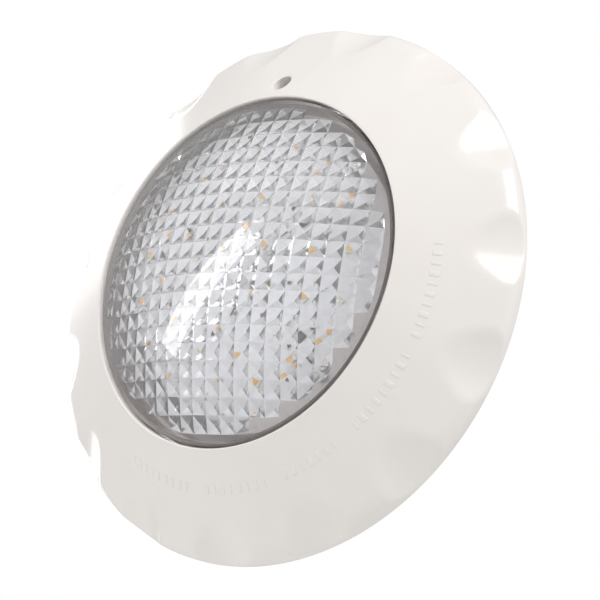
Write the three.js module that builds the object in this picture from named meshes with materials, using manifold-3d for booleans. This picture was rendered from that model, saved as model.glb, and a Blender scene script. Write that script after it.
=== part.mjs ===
// Surface-mounted underwater pool light: a scalloped face ring round a clear prismatic lens, a sealed lamp
// housing behind it, and the wall bracket that the lamp hangs on.
//
// Frame: millimetres, +Z up. The wall is the plane y = 0 and the lamp faces -Y, so the distance of a face
// from the wall, called "out" below, is -y. Angles round the lamp run clockwise from the top, seen from the
// front. The origin is the middle of the bracket's back face.
import * as THREE from "three";
import { mergeVertices } from "three/addons/utils/BufferGeometryUtils.js";
import Module from "manifold-3d";

const wasm = await Module();
wasm.setup();

// ---------------------------------------------------------------- driving dimensions

const ring = {
  outerRadius: 145,
  openingRadius: 93.5,
  wall: 3,
  backGap: 6, // from the wall to the skirt's back edge
  height: 37.8, // from the skirt's back edge to the lip round the lens
  skirtHeight: 11, // where the cone meets the rounded shoulder
  shoulderInset: 4,
  lipWidth: 3,
  lipDepth: 5.8,
  lipRound: 0.7,
  scoops: 15,
  scoopRadius: 49,
  scoopLength: 21, // along the radius, from a scoop's inner tip to the rim
  scoopSlope: 42,
  facetSlope: 31.2, // the flat round the screw hole
  facetStart: 2.5,
};
const screw = {
  radius: 2.1,
  headRadius: 4.2,
  headHeight: 3.3,
  engagement: 7.5, // in the threaded insert
  pocketRadius: 5,
  pocketWall: 1.2,
  pocketFloor: 2.5,
  pocketGap: 0.9, // from the lens flange to the pocket
  driveRadius: 1.7,
  driveDepth: 1.8,
};
const washer = { radius: 4.4, thickness: 1 };
const insert = { outerRadius: 3.9, boreRadius: 2.7, length: 8 };
const plate = {
  thickness: 4,
  rimHeight: 2,
  rimWidth: 2.5,
  discRadius: 60,
  strapWidth: 44,
  slotSpacing: 68,
  slotRadius: 2.75,
  slotLength: 14,
  cableHoleRadius: 11,
  cableHoleOffset: 32,
  towerBaseRadius: 8.5,
  towerTopRadius: 6,
  gussetWidth: 28,
};
const hook = {
  barRadius: 2.5,
  inset: 23, // from the ring's outer radius up to the bar
  out: 10, // the bar's axis from the wall
  channelWall: 2.5,
  channelHalfWidth: 17,
  armInner: 20,
  armWidth: 4,
  eyeWall: 1.2,
  rootDepth: 6,
};
const housing = {
  gap: 2, // between the bracket's rim and the housing's back
  wall: 2.5,
  lensInset: 1.4, // bowl's outer radius inside the lens wall's radius
  round: 3,
  flangeThickness: 3,
  flangeWidth: 11.5, // outside the lens opening
  earThickness: 3,
  earWidth: 14,
  earInset: 18.5, // ring-fixing screws, outside the lens opening
  earOut: 14,
  channelWidth: 9,
  channelDepth: 8,
  channelStart: 20,
};
const gasket = { thickness: 2, width: 4 };
const lens = {
  gap: 1.1, // to the face ring's opening
  wall: 3,
  flangeThickness: 3,
  flangeWidth: 4, // outside the lens opening
  domeHeight: 19.5,
  domeBaseInset: 3.5, // where the dome starts, inside the lens opening
  domeBaseDrop: 0.3, // below the face ring's lip
};
const clamp = { thickness: 2, count: 8, screwInset: 7.8 };
const clampScrew = { radius: 1.4, headRadius: 2.9, headHeight: 2, length: 8 };
const ringScrew = { radius: 1.6, headRadius: 3.2, headHeight: 2.2, length: 12, bossRadius: 4.2 };
const ledBoard = { inset: 11.5, thickness: 1.6, packageSize: 5, packageHeight: 1.4 };
const ledRings = [
  { radius: 20, count: 5, phase: 36 },
  { radius: 42, count: 11, phase: 8 },
  { radius: 63, count: 16, phase: 11.25 },
];
const heatPlate = { thickness: 2 };
const boardScrew = { radius: 1.4, headRadius: 2.8, headHeight: 1.8, length: 9, inset: 19.5, postRadius: 4 };
const driver = { width: 64, height: 44, thickness: 1.6, below: 40, standoff: 3, postRadius: 3.2, postInset: 5 };
const coil = { radius: 7.5, hole: 3, height: 5.5 };
const capacitor = { radius: 3, length: 12 };
const rectifier = { width: 10, height: 8, thickness: 3 };
const terminal = { width: 15, height: 7, thickness: 6.5 };
const lead = { radius: 0.9, spacing: 4, holeRadius: 5 };
const gland = {
  cableRadius: 3.3,
  threadRadius: 4.2,
  collarRadius: 6.2,
  collarLength: 4,
  tubeRadius: 5.3,
  tubeLength: 9,
  padDepth: 2,
  ringThickness: 1,
  nutFlats: 14,
  nutLength: 11,
  sealWall: 1.1,
  sealLength: 6,
};
const clearance = {
  film: 0.05, // thermal paste or a glue line
  fit: 0.3, // between pieces that pass through or seat in each other
  head: 0.9, // from the clamp screws' heads to the face ring's underside
  bar: 0.5, // hook bar in its channel
  bracketTower: 1, // from the tower's top to the screw pocket's floor
};

const FINE = 72; // sides on the large turned pieces
const COARSE = 48; // sides on what the face ring hides
const MEDIUM = 20;
const SMALL = 10;

// ---------------------------------------------------------------- places worked out from the sizes

const radians = THREE.MathUtils.degToRad;
const lipOut = ring.backGap + ring.height;
const shoulderRadius = ring.outerRadius - ring.shoulderInset;
const shoulderOut = ring.backGap + ring.skirtHeight;
const coneSlope = (lipOut - shoulderOut) / (shoulderRadius - ring.openingRadius);
const coneThickness = ring.wall * Math.hypot(1, coneSlope); // the wall measured along the lamp's axis
const coneOut = (radius) => lipOut - coneSlope * (radius - ring.openingRadius);
const undersideOut = (radius) => coneOut(radius) - coneThickness;

const lensRadius = ring.openingRadius - lens.gap;
const lensFlangeRadius = ring.openingRadius + lens.flangeWidth;
const clampScrewCircle = ring.openingRadius + clamp.screwInset;
const flangeRadius = ring.openingRadius + housing.flangeWidth;
const clampHeadTop = undersideOut(clampScrewCircle + clampScrew.headRadius) - clearance.head;
const clampFront = clampHeadTop - clampScrew.headHeight;
const lensFlangeFront = clampFront - clamp.thickness;
const lensFlangeBack = lensFlangeFront - lens.flangeThickness;
const flangeFront = lensFlangeBack - gasket.thickness;
const flangeBack = flangeFront - housing.flangeThickness;

const plateFront = plate.thickness + plate.rimHeight;
const housingBack = plateFront + housing.gap;
const housingFloor = housingBack + housing.wall;
const bowlRadius = lensRadius - housing.lensInset;

const pocketOuterRadius = screw.pocketRadius + screw.pocketWall;
const screwHeight = lensFlangeRadius + screw.pocketGap + pocketOuterRadius; // the retaining screw's axis
const pocketFloorBack = flangeBack - clearance.fit;
const pocketFloorFront = pocketFloorBack + screw.pocketFloor;
const towerTop = pocketFloorBack - clearance.bracketTower;
const washerFront = pocketFloorFront + washer.thickness;
const screwTip = towerTop - screw.engagement;

const barHeight = -(ring.outerRadius - hook.inset);
const armOuter = hook.armInner + hook.armWidth;

const ledBoardRadius = ring.openingRadius - ledBoard.inset;
const ledBoardBack = flangeFront;
const ledBoardFront = ledBoardBack + ledBoard.thickness;
const heatPlateFront = ledBoardBack - clearance.film;
const heatPlateBack = heatPlateFront - heatPlate.thickness;
const boardScrewCircle = ring.openingRadius - boardScrew.inset;
const driverBack = housingFloor + driver.standoff;
const driverFront = driverBack + driver.thickness;

const domeBaseRadius = ring.openingRadius - lens.domeBaseInset;
const domeBaseOut = lipOut - lens.domeBaseDrop;
const domeRadius = (domeBaseRadius ** 2 + lens.domeHeight ** 2) / (2 * lens.domeHeight);
const domeCentreOut = domeBaseOut + lens.domeHeight - domeRadius;

const glandOut = (housingBack + flangeBack) / 2;
const glandPad = bowlRadius + gland.padDepth;
const glandCollarStart = glandPad + gland.ringThickness;
const glandTubeStart = glandCollarStart + gland.collarLength;
const glandTubeEnd = glandTubeStart + gland.tubeLength;
const glandNutStart = glandTubeStart + clearance.fit;

// ---------------------------------------------------------------- making solids

/** A closed geometry as a manifold-3d solid, its vertices merged and collapsed triangles dropped. */
function solid(geometry) {
  const bare = geometry.index ? geometry.toNonIndexed() : geometry.clone();
  for (const name of Object.keys(bare.attributes)) {
    if (name !== "position") bare.deleteAttribute(name);
  }
  const merged = mergeVertices(bare, 1e-4);
  const corners = merged.index.array;
  const kept = [];
  for (let i = 0; i < corners.length; i += 3) {
    const [a, b, c] = corners.subarray(i, i + 3);
    if (a !== b && b !== c && c !== a) kept.push(a, b, c);
  }
  return new wasm.Manifold(
    new wasm.Mesh({
      numProp: 3,
      vertProperties: merged.attributes.position.array,
      triVerts: new Uint32Array(kept),
    }),
  );
}

/** A manifold-3d solid as a three.js geometry. */
function geometryOf(made) {
  const mesh = made.getMesh();
  const geometry = new THREE.BufferGeometry();
  geometry.setAttribute("position", new THREE.BufferAttribute(new Float32Array(mesh.vertProperties), 3));
  geometry.setIndex(new THREE.BufferAttribute(new Uint32Array(mesh.triVerts), 1));
  geometry.computeVertexNormals();
  return geometry;
}

/** The solids of a list joined into one. */
function joined(solids) {
  return solids.reduce((sum, next) => sum.add(next));
}

/** first with each solid of the list cut away. */
function cut(first, solids) {
  return solids.reduce((rest, next) => rest.subtract(next), first);
}

/** A profile of [radius, out] corners turned about the lamp's axis; it is closed from its last corner. */
function turned(profile, sides = FINE) {
  const area = profile.reduce((sum, [r, out], i) => {
    const [nextR, nextOut] = profile[(i + 1) % profile.length];
    return sum + r * nextOut - nextR * out;
  }, 0);
  const points = profile.map(([r, out]) => new THREE.Vector2(r, -out));
  if (area > 0) points.reverse();
  points.push(points[0].clone());
  return new THREE.LatheGeometry(points, sides);
}

/** A round bar along the lamp's axis at (x, z), from one out to another. */
function post(radius, from, to, x = 0, z = 0, sides = SMALL) {
  const bar = new THREE.CylinderGeometry(radius, radius, to - from, sides);
  return bar.translate(x, -(from + to) / 2, z);
}

/** A hollow round bar along the lamp's axis at the origin. */
function tube(outer, inner, from, to, sides = MEDIUM) {
  return turned(
    [
      [inner, from],
      [outer, from],
      [outer, to],
      [inner, to],
    ],
    sides,
  );
}

/** A box centred on x and z, from one out to another. */
function block(width, height, from, to, x = 0, z = 0) {
  return new THREE.BoxGeometry(width, to - from, height).translate(x, -(from + to) / 2, z);
}

/** A shape in x and z, extruded away from the wall from one out to another. */
function sheet(shape, from, to, curveSegments = 12) {
  const made = new THREE.ExtrudeGeometry(shape, { depth: to - from, bevelEnabled: false, curveSegments });
  return made.rotateX(Math.PI / 2).translate(0, -from, 0);
}

/** A point at a radius and a clockwise angle in degrees from the top, as [x, z]. */
function around(radius, angle) {
  return [radius * Math.sin(radians(angle)), radius * Math.cos(radians(angle))];
}

/** A slot with round ends, centred on (x, z) and lying along x. */
function slotShape(length, radius, x, z) {
  const half = length / 2 - radius;
  const shape = new THREE.Shape();
  shape.moveTo(x - half, z - radius);
  shape.lineTo(x + half, z - radius);
  shape.absarc(x + half, z, radius, -Math.PI / 2, Math.PI / 2, false);
  shape.lineTo(x - half, z + radius);
  shape.absarc(x - half, z, radius, Math.PI / 2, (3 * Math.PI) / 2, false);
  return shape;
}

/** A pan-head screw along the lamp's axis at the origin: its head's seat is at out 0 and its tip at -length. */
function panScrew({ radius, headRadius, headHeight, length }, recess = headHeight * 0.55) {
  const head = solid(
    turned(
      [
        [0, -length],
        [radius * 0.6, -length],
        [radius, -length + radius * 0.6],
        [radius, 0],
        [headRadius, 0],
        [headRadius, headHeight * 0.55],
        [headRadius * 0.7, headHeight],
        [0, headHeight],
      ],
      8,
    ),
  );
  const arm = headRadius * 1.1;
  const blade = headRadius * 0.28;
  const top = headHeight + 1;
  return cut(head, [
    solid(block(arm, blade, headHeight - recess, top)),
    solid(block(blade, arm, headHeight - recess, top)),
  ]);
}

// ---------------------------------------------------------------- face ring

/** The cylinder that a scoop is cut with, at one angle; a bigger radius leaves the wall behind it. */
function scoopCutter(angle, extraRadius) {
  const radius = ring.scoopRadius;
  const slope = radians(ring.scoopSlope);
  const tipRadius = ring.outerRadius - ring.scoopLength;
  const length = 3.2 * ring.scoopLength;
  const cylinder = new THREE.CylinderGeometry(radius + extraRadius, radius + extraRadius, length, 44);
  cylinder.rotateX(Math.PI / 2 - slope);
  const along = length / 2 - 0.6 * ring.scoopLength;
  const z = tipRadius + radius * Math.sin(slope) + along * Math.cos(slope);
  const out = coneOut(tipRadius) + radius * Math.cos(slope) - along * Math.sin(slope);
  return solid(cylinder.translate(0, -out, z).rotateY(radians(angle)));
}

/** The block whose flat side cuts the facet round the screw hole. */
function facetCutter(depth) {
  const slope = radians(ring.facetSlope);
  const start = ring.openingRadius + ring.facetStart;
  const length = 1.5 * (ring.outerRadius - start);
  const height = 30;
  const slab = new THREE.BoxGeometry(0.75 * ring.outerRadius, height, length);
  slab.rotateX(-slope);
  const up = height / 2 - depth;
  const along = length / 2 - 1;
  const z = start + up * Math.sin(slope) + along * Math.cos(slope);
  const out = coneOut(start) + up * Math.cos(slope) - along * Math.sin(slope);
  return solid(slab.translate(0, -out, z));
}

/** The middles of the scoops; the hole at the top lies on the ridge between two of them. */
function scoopAngles() {
  const step = 360 / ring.scoops;
  return Array.from({ length: ring.scoops }, (_, i) => (i + 0.5) * step);
}

/** The ring's outer form as a full solid. */
function ringOutside() {
  const back = ring.backGap;
  const skirtTop = shoulderOut - 1.35 * ring.shoulderInset;
  const profile = [
    [0, back],
    [ring.outerRadius, back],
    [ring.outerRadius, skirtTop],
    [ring.outerRadius - 0.28 * ring.shoulderInset, skirtTop + 0.62 * (shoulderOut - skirtTop)],
    [shoulderRadius, shoulderOut],
    [ring.openingRadius + ring.lipRound, coneOut(ring.openingRadius + ring.lipRound)],
    [ring.openingRadius, lipOut - 1.5 * ring.lipRound],
    [0, lipOut - 1.5 * ring.lipRound],
  ];
  const cutters = scoopAngles().map((angle) => scoopCutter(angle, 0));
  return cut(solid(turned(profile)), [...cutters, facetCutter(0)]);
}

/** The hollow inside the ring, a wall's depth within its outer form. */
function ringInside(depth) {
  const low = ring.backGap - 1;
  const inner = ring.outerRadius - depth;
  const lip = ring.openingRadius + ring.lipWidth;
  const lipBottom = lipOut - ring.lipDepth;
  const under = (radius) => coneOut(radius) - depth * Math.hypot(1, coneSlope);
  const profile = [
    [0, low],
    [inner, low],
    [inner, shoulderOut - 1.35 * ring.shoulderInset],
    [shoulderRadius - 0.5 * depth, under(shoulderRadius - 0.5 * depth)],
    [lip, under(lip)],
    [lip, lipBottom],
    [0, lipBottom],
  ];
  const cutters = scoopAngles().map((angle) => scoopCutter(angle, depth));
  return cut(solid(turned(profile)), [...cutters, facetCutter(depth)]);
}

/** Where the four screws that hold the ring to the housing stand, as [x, z]. */
function earPlaces() {
  return [48, 144, 216, 312].map((angle) => around(ring.openingRadius + housing.earInset, angle));
}

function faceRing() {
  const earFront = housing.earOut + housing.earThickness;
  const opening = solid(post(ring.openingRadius, 0, lipOut + 10, 0, 0, FINE));
  const shell = cut(ringOutside(), [ringInside(ring.wall), opening]);
  const envelope = ringOutside();
  const bosses = earPlaces().map(([x, z]) =>
    solid(post(ringScrew.bossRadius, earFront + clearance.fit, lipOut, x, z)).intersect(envelope),
  );
  const made = joined([shell, ...bosses]);
  const bores = earPlaces().map(([x, z]) =>
    solid(
      post(
        ringScrew.radius + clearance.fit,
        housing.earOut,
        housing.earOut + ringScrew.length + clearance.fit,
        x,
        z,
      ),
    ),
  );
  const pocket = solid(post(screw.pocketRadius, pocketFloorFront, lipOut + 1, 0, screwHeight, MEDIUM));
  return cut(made, [...bores, pocket]);
}

/** The cup behind the ring that the retaining screw's head sits in. */
function screwCup() {
  const bar = solid(post(pocketOuterRadius, pocketFloorBack, lipOut, 0, screwHeight, MEDIUM));
  const cup = bar.intersect(ringInside(ring.wall + clearance.film));
  return cut(cup, [
    solid(post(screw.pocketRadius, pocketFloorFront, lipOut + 1, 0, screwHeight, MEDIUM)),
    solid(post(insert.boreRadius, pocketFloorBack - 1, pocketFloorFront + 1, 0, screwHeight)),
  ]);
}

// ---------------------------------------------------------------- lens, gasket and clamp

/** Corners of the dome's arc on a sphere of the lens, from one radius from the axis to another. */
function domeArc(sphereRadius, fromRadius, toRadius, steps) {
  return Array.from({ length: steps + 1 }, (_, i) => {
    const r = fromRadius + ((toRadius - fromRadius) * i) / steps;
    return [r, domeCentreOut + Math.sqrt(sphereRadius ** 2 - r ** 2)];
  });
}

function lensCup() {
  const innerRadius = lensRadius - lens.wall;
  const edge = domeBaseRadius + 1;
  const profile = [
    [innerRadius, lensFlangeBack],
    [lensFlangeRadius, lensFlangeBack],
    [lensFlangeRadius, lensFlangeFront],
    [lensRadius, lensFlangeFront],
    [lensRadius, domeBaseOut - 2.4],
    ...domeArc(domeRadius, edge, 0, 5),
    ...domeArc(domeRadius - lens.wall, 0, innerRadius, 3),
  ];
  return solid(turned(profile, COARSE));
}

function lensGasket() {
  const inner = lensFlangeRadius - gasket.width - clearance.fit;
  return solid(tube(lensFlangeRadius - clearance.fit, inner, flangeFront, lensFlangeBack, COARSE));
}

/** Angles of the clamp screws, which leave the top, the bottom and the gland free. */
function clampAngles() {
  return Array.from({ length: clamp.count }, (_, i) => ((i + 0.5) * 360) / clamp.count);
}

/** The U-shaped gap that lets the screw pocket and its tower past a flange. */
function pocketNotch(from, to) {
  const radius = pocketOuterRadius + 2 * clearance.fit;
  return joined([
    solid(post(radius, from, to, 0, screwHeight, MEDIUM)),
    solid(block(2 * radius, 2 * radius, from, to, 0, screwHeight + radius)),
  ]);
}

function clampRing() {
  const made = solid(tube(flangeRadius, ring.openingRadius - clearance.fit, lensFlangeFront, clampFront, COARSE));
  const holes = clampAngles().map((angle) =>
    solid(post(clampScrew.radius + clearance.fit, 0, lipOut, ...around(clampScrewCircle, angle), 8)),
  );
  return cut(made, [...holes, pocketNotch(lensFlangeFront - 1, clampFront + 1)]);
}

// ---------------------------------------------------------------- housing

/** A solid lying along +x, turned from a profile of [radius, x] corners about the gland's axis. */
function alongGland(profile, sides = MEDIUM) {
  const geometry = turned(
    profile.map(([r, x]) => [r, x]),
    sides,
  );
  return solid(geometry.rotateZ(Math.PI / 2).translate(0, -glandOut, 0));
}

/** One of the two arms that carry the hook bar, drawn from the side and extruded along x. */
function hookArm(x) {
  const eye = hook.barRadius + hook.eyeWall;
  const root = -flangeRadius + hook.rootDepth;
  const knee = barHeight + 0.6 * hook.inset;
  const front = Math.min(flangeFront, undersideOut(-knee) - clearance.head);
  const arm = new THREE.Shape();
  arm.moveTo(-hook.out + eye, barHeight);
  arm.absarc(-hook.out, barHeight, eye, 0, -Math.PI, true);
  arm.lineTo(-front, knee);
  arm.lineTo(-front, root);
  arm.lineTo(-flangeBack + hook.rootDepth, root);
  const made = new THREE.ExtrudeGeometry(arm, { depth: hook.armWidth, bevelEnabled: false, curveSegments: 8 });
  // The shape's own axes become y and z, and its depth becomes x.
  return solid(made.applyMatrix4(new THREE.Matrix4().set(0, 0, 1, x, 1, 0, 0, 0, 0, 1, 0, 0, 0, 0, 0, 1)));
}

/** The bar that drops into the bracket's channel. */
function hookBar() {
  const bar = new THREE.CylinderGeometry(hook.barRadius, hook.barRadius, 2 * armOuter, SMALL);
  return solid(bar.rotateZ(Math.PI / 2).translate(0, -hook.out, barHeight));
}

/** An ear of the housing that a ring-fixing screw passes through. */
function ear([x, z]) {
  const angle = Math.atan2(x, z);
  const reach = Math.hypot(x, z);
  const half = housing.earWidth / 2;
  const root = bowlRadius - 1;
  const to = housing.earOut + housing.earThickness;
  const arm = block(housing.earWidth, reach - root, housing.earOut, to, 0, (reach + root) / 2);
  const rib = block(housing.earThickness, flangeRadius - root - 1, housing.earOut, flangeBack + 1, 0, 0);
  rib.translate(0, 0, (flangeRadius + root - 1) / 2);
  return joined([
    solid(arm.rotateY(angle)),
    solid(rib.rotateY(angle)),
    solid(post(half, housing.earOut, to, x, z)),
  ]);
}

/** Where the screws of the LED board stand, as [x, z]. */
function boardScrewPlaces() {
  return [45, 135, 225, 315].map((angle) => around(boardScrewCircle, angle));
}

/** The four corners of the driver board where it stands on posts, as [x, z]. */
function driverPosts() {
  const x = driver.width / 2 - driver.postInset;
  const z = driver.height / 2 - driver.postInset;
  return [-x, x].flatMap((px) => [-z, z].map((pz) => [px, pz - driver.below]));
}

function rearHousing() {
  const round = housing.round;
  const innerRadius = bowlRadius - housing.wall;
  const bowl = turned([
    [0, housingBack],
    [bowlRadius - round, housingBack],
    [bowlRadius - 0.3 * round, housingBack + 0.3 * round],
    [bowlRadius, housingBack + round],
    [bowlRadius, flangeBack],
    [flangeRadius, flangeBack],
    [flangeRadius, flangeFront],
    [innerRadius, flangeFront],
    [innerRadius, housingFloor + round - 1],
    [innerRadius - round + 1, housingFloor],
    [0, housingFloor],
  ], COARSE);
  const boss = clampScrew.radius + 2;
  const clampBosses = clampAngles().map((angle) =>
    solid(post(boss, flangeBack - 4, flangeBack + 0.5, ...around(clampScrewCircle, angle))),
  );
  const boardPosts = boardScrewPlaces().map(([x, z]) =>
    solid(post(boardScrew.postRadius, housingFloor - 0.5, heatPlateBack, x, z)),
  );
  const smallPosts = driverPosts().map(([x, z]) =>
    solid(post(driver.postRadius, housingFloor - 0.5, driverBack, x, z)),
  );
  // The cable lies in a channel across the back, on its way to the hole in the wall.
  const channelTop = housingBack + housing.channelDepth;
  const channelLength = bowlRadius - housing.channelStart;
  const channelMiddle = -(bowlRadius + housing.channelStart) / 2;
  const bump = block(
    channelLength - housing.wall + 2 * housing.wall,
    housing.channelWidth + 2 * housing.wall,
    housingBack,
    channelTop + housing.wall,
    channelMiddle + housing.wall / 2,
  );
  const channel = block(channelLength + 10, housing.channelWidth, 0, channelTop, channelMiddle - 5);
  const bowlLimit = solid(post(bowlRadius - 0.5, housingBack, flangeFront, 0, 0, COARSE));
  const pad = alongGland([
    [0, bowlRadius - housing.wall - 0.5],
    [gland.collarRadius + 0.3, bowlRadius - housing.wall - 0.5],
    [gland.collarRadius + 0.3, glandPad],
    [0, glandPad],
  ]);
  const made = joined([
    solid(bowl),
    ...clampBosses,
    ...boardPosts,
    ...smallPosts,
    solid(bump).intersect(bowlLimit),
    pad,
    ...earPlaces().map(ear),
    hookArm(hook.armInner),
    hookArm(-armOuter),
    hookBar(),
  ]);
  const nutReach = gland.nutFlats / Math.sqrt(3) + 2 * clearance.fit;
  return cut(made, [
    solid(channel),
    pocketNotch(flangeBack - 6, flangeFront + 1),
    solid(block(40, 2 * nutReach, flangeBack - 6, flangeFront + 1, glandNutStart - clearance.fit + 20)),
    alongGland([
      [0, bowlRadius - 8],
      [gland.threadRadius + clearance.fit / 2, bowlRadius - 8],
      [gland.threadRadius + clearance.fit / 2, glandPad + 1],
      [0, glandPad + 1],
    ]),
    ...clampAngles().map((angle) => {
      const [x, z] = around(clampScrewCircle, angle);
      return solid(post(clampScrew.radius + clearance.fit / 2, flangeBack - 3, flangeFront + 1, x, z, 8));
    }),
    ...earPlaces().map(([x, z]) => solid(post(ringScrew.radius + clearance.fit, 0, flangeBack, x, z))),
    ...boardScrewPlaces().map(([x, z]) => {
      const tip = ledBoardFront - boardScrew.length;
      return solid(post(boardScrew.radius + clearance.fit / 2, tip - 1, flangeFront + 1, x, z));
    }),
  ]);
}

// ---------------------------------------------------------------- boards inside the housing

/** A disc with the holes of the board screws and of the leads. */
function boardDisc(from, to, sides) {
  const disc = solid(post(ledBoardRadius, from, to, 0, 0, sides));
  const holes = boardScrewPlaces().map(([x, z]) =>
    solid(post(boardScrew.radius + clearance.fit, from - 1, to + 1, x, z)),
  );
  return cut(disc, [...holes, solid(post(lead.holeRadius, from - 1, to + 1, 0, 0))]);
}

function ledBoardSolid() {
  const size = ledBoard.packageSize;
  const packages = ledRings.flatMap(({ radius, count, phase }) =>
    Array.from({ length: count }, (_, i) => {
      const angle = phase + (i * 360) / count;
      const [x, z] = around(radius, angle);
      const box = block(size, size, ledBoardFront - 0.5, ledBoardFront + ledBoard.packageHeight);
      return solid(box.rotateY(radians(angle)).translate(x, 0, z));
    }),
  );
  return joined([boardDisc(ledBoardBack, ledBoardFront, COARSE), ...packages]);
}

function driverBoard() {
  return solid(block(driver.width, driver.height, driverBack, driverFront, 0, -driver.below));
}

function driverCoil() {
  const made = tube(coil.radius, coil.hole, driverFront + 0.1, driverFront + 0.1 + coil.height, MEDIUM);
  return solid(made.translate(-driver.width / 2 + 2 * coil.radius, 0, -driver.below));
}

function capacitorAt(x, z) {
  const can = new THREE.CylinderGeometry(capacitor.radius, capacitor.radius, capacitor.length, SMALL);
  return solid(can.rotateZ(Math.PI / 2).translate(x, -(driverFront + 0.1 + capacitor.radius), z));
}

/** A lead that rises from the driver board through the middle hole and bends over onto the LED board. */
function leadAt(side) {
  const x = (side * lead.spacing) / 2;
  const start = -driver.below + driver.height / 2 - 3;
  const path = new THREE.CatmullRomCurve3([
    new THREE.Vector3(x, -(driverFront + 0.3 + lead.radius), start),
    new THREE.Vector3(x, -(driverFront + 0.6 + lead.radius), start + 6),
    new THREE.Vector3(x, -(heatPlateBack - 0.5), -1.6),
    new THREE.Vector3(x, -(ledBoardFront + 1.6), 0.6),
    new THREE.Vector3(x * 1.6, -(ledBoardFront + 2.6), 4.5),
    new THREE.Vector3(x * 2.2, -(ledBoardFront + lead.radius + 0.3), 9.5),
  ]);
  const section = new THREE.Shape().absarc(0, 0, lead.radius, 0, 2 * Math.PI, false);
  const made = new THREE.ExtrudeGeometry(section, { steps: 14, extrudePath: path, curveSegments: 3 });
  return solid(made);
}

// ---------------------------------------------------------------- cable gland

function glandBody() {
  const bore = gland.cableRadius;
  return alongGland([
    [bore, bowlRadius - housing.wall + clearance.fit],
    [gland.threadRadius, bowlRadius - housing.wall + clearance.fit],
    [gland.threadRadius, glandCollarStart],
    [gland.collarRadius, glandCollarStart],
    [gland.collarRadius, glandTubeStart],
    [gland.tubeRadius, glandTubeStart],
    [gland.tubeRadius, glandTubeEnd],
    [gland.cableRadius + gland.sealWall + clearance.fit / 2, glandTubeEnd],
    [gland.cableRadius + gland.sealWall + clearance.fit / 2, glandTubeEnd - gland.sealLength],
    [bore, glandTubeEnd - gland.sealLength - 1],
  ]);
}

function glandORing() {
  const inner = gland.threadRadius + clearance.fit;
  return alongGland([
    [inner, glandPad],
    [gland.collarRadius - 0.3, glandPad],
    [gland.collarRadius - 0.3, glandCollarStart],
    [inner, glandCollarStart],
  ]);
}

function glandSeal() {
  const end = glandTubeEnd + 0.6;
  return alongGland([
    [gland.cableRadius, glandTubeEnd - gland.sealLength + clearance.fit],
    [gland.cableRadius + gland.sealWall - 0.05, glandTubeEnd - gland.sealLength + clearance.fit],
    [gland.cableRadius + gland.sealWall - 0.05, end],
    [gland.cableRadius, end],
  ]);
}

function glandNut() {
  const nutEnd = glandNutStart + gland.nutLength;
  const hexRadius = gland.nutFlats / Math.sqrt(3);
  const hex = new THREE.CylinderGeometry(hexRadius, hexRadius, gland.nutLength * 0.72, 6);
  hex.rotateY(Math.PI / 6).rotateZ(Math.PI / 2);
  hex.translate(glandNutStart + gland.nutLength * 0.36, -glandOut, 0);
  const dome = alongGland([
    [0, glandNutStart + gland.nutLength * 0.7],
    [gland.nutFlats / 2, glandNutStart + gland.nutLength * 0.7],
    [gland.nutFlats / 2 - 1.6, nutEnd],
    [0, nutEnd],
  ]);
  const inside = gland.tubeRadius + clearance.fit / 2;
  const seatEnd = glandTubeEnd + 0.9;
  const bore = alongGland([
    [0, glandNutStart - 1],
    [inside, glandNutStart - 1],
    [inside, seatEnd],
    [gland.cableRadius + 0.2, seatEnd + 0.6],
    [gland.cableRadius + 0.2, nutEnd + 1],
    [0, nutEnd + 1],
  ]);
  return cut(joined([solid(hex), dome]), [bore]);
}

// ---------------------------------------------------------------- wall bracket

/** The bracket's outline: a disc with a strap up to the screw tower and down to the hook channel. */
function bracketShape(shrink) {
  const radius = plate.discRadius - shrink;
  const half = plate.strapWidth / 2 - shrink;
  const top = screwHeight + plate.towerBaseRadius + 1 - shrink;
  const bottom = barHeight - hook.barRadius - clearance.bar - hook.channelWall + shrink;
  const meet = Math.sqrt(radius ** 2 - half ** 2);
  const corner = Math.atan2(meet, half);
  const shape = new THREE.Shape();
  shape.moveTo(half, meet);
  shape.lineTo(half, top - half / 2);
  shape.quadraticCurveTo(half, top, half / 2, top);
  shape.lineTo(-half / 2, top);
  shape.quadraticCurveTo(-half, top, -half, top - half / 2);
  shape.lineTo(-half, meet);
  shape.absarc(0, 0, radius, Math.PI - corner, Math.PI + corner, false);
  shape.lineTo(-half, bottom);
  shape.lineTo(half, bottom);
  shape.lineTo(half, -meet);
  shape.absarc(0, 0, radius, -corner, corner, false);
  return shape;
}

/** The block at the bracket's foot with its upward-open channel for the hook bar. */
function channelBlock() {
  const channel = hook.barRadius + clearance.bar;
  const outer = channel + hook.channelWall;
  const width = 2 * hook.channelHalfWidth;
  const bottom = barHeight - outer;
  const body = block(width, outer, 0, hook.out + outer, 0, bottom + outer / 2);
  const back = block(width, outer + channel, 0, hook.out - channel, 0, bottom + (outer + channel) / 2);
  const bore = new THREE.CylinderGeometry(channel, channel, width + 2, MEDIUM);
  bore.rotateZ(Math.PI / 2).translate(0, -hook.out, barHeight);
  return cut(joined([solid(body), solid(back)]), [solid(bore)]);
}

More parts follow.
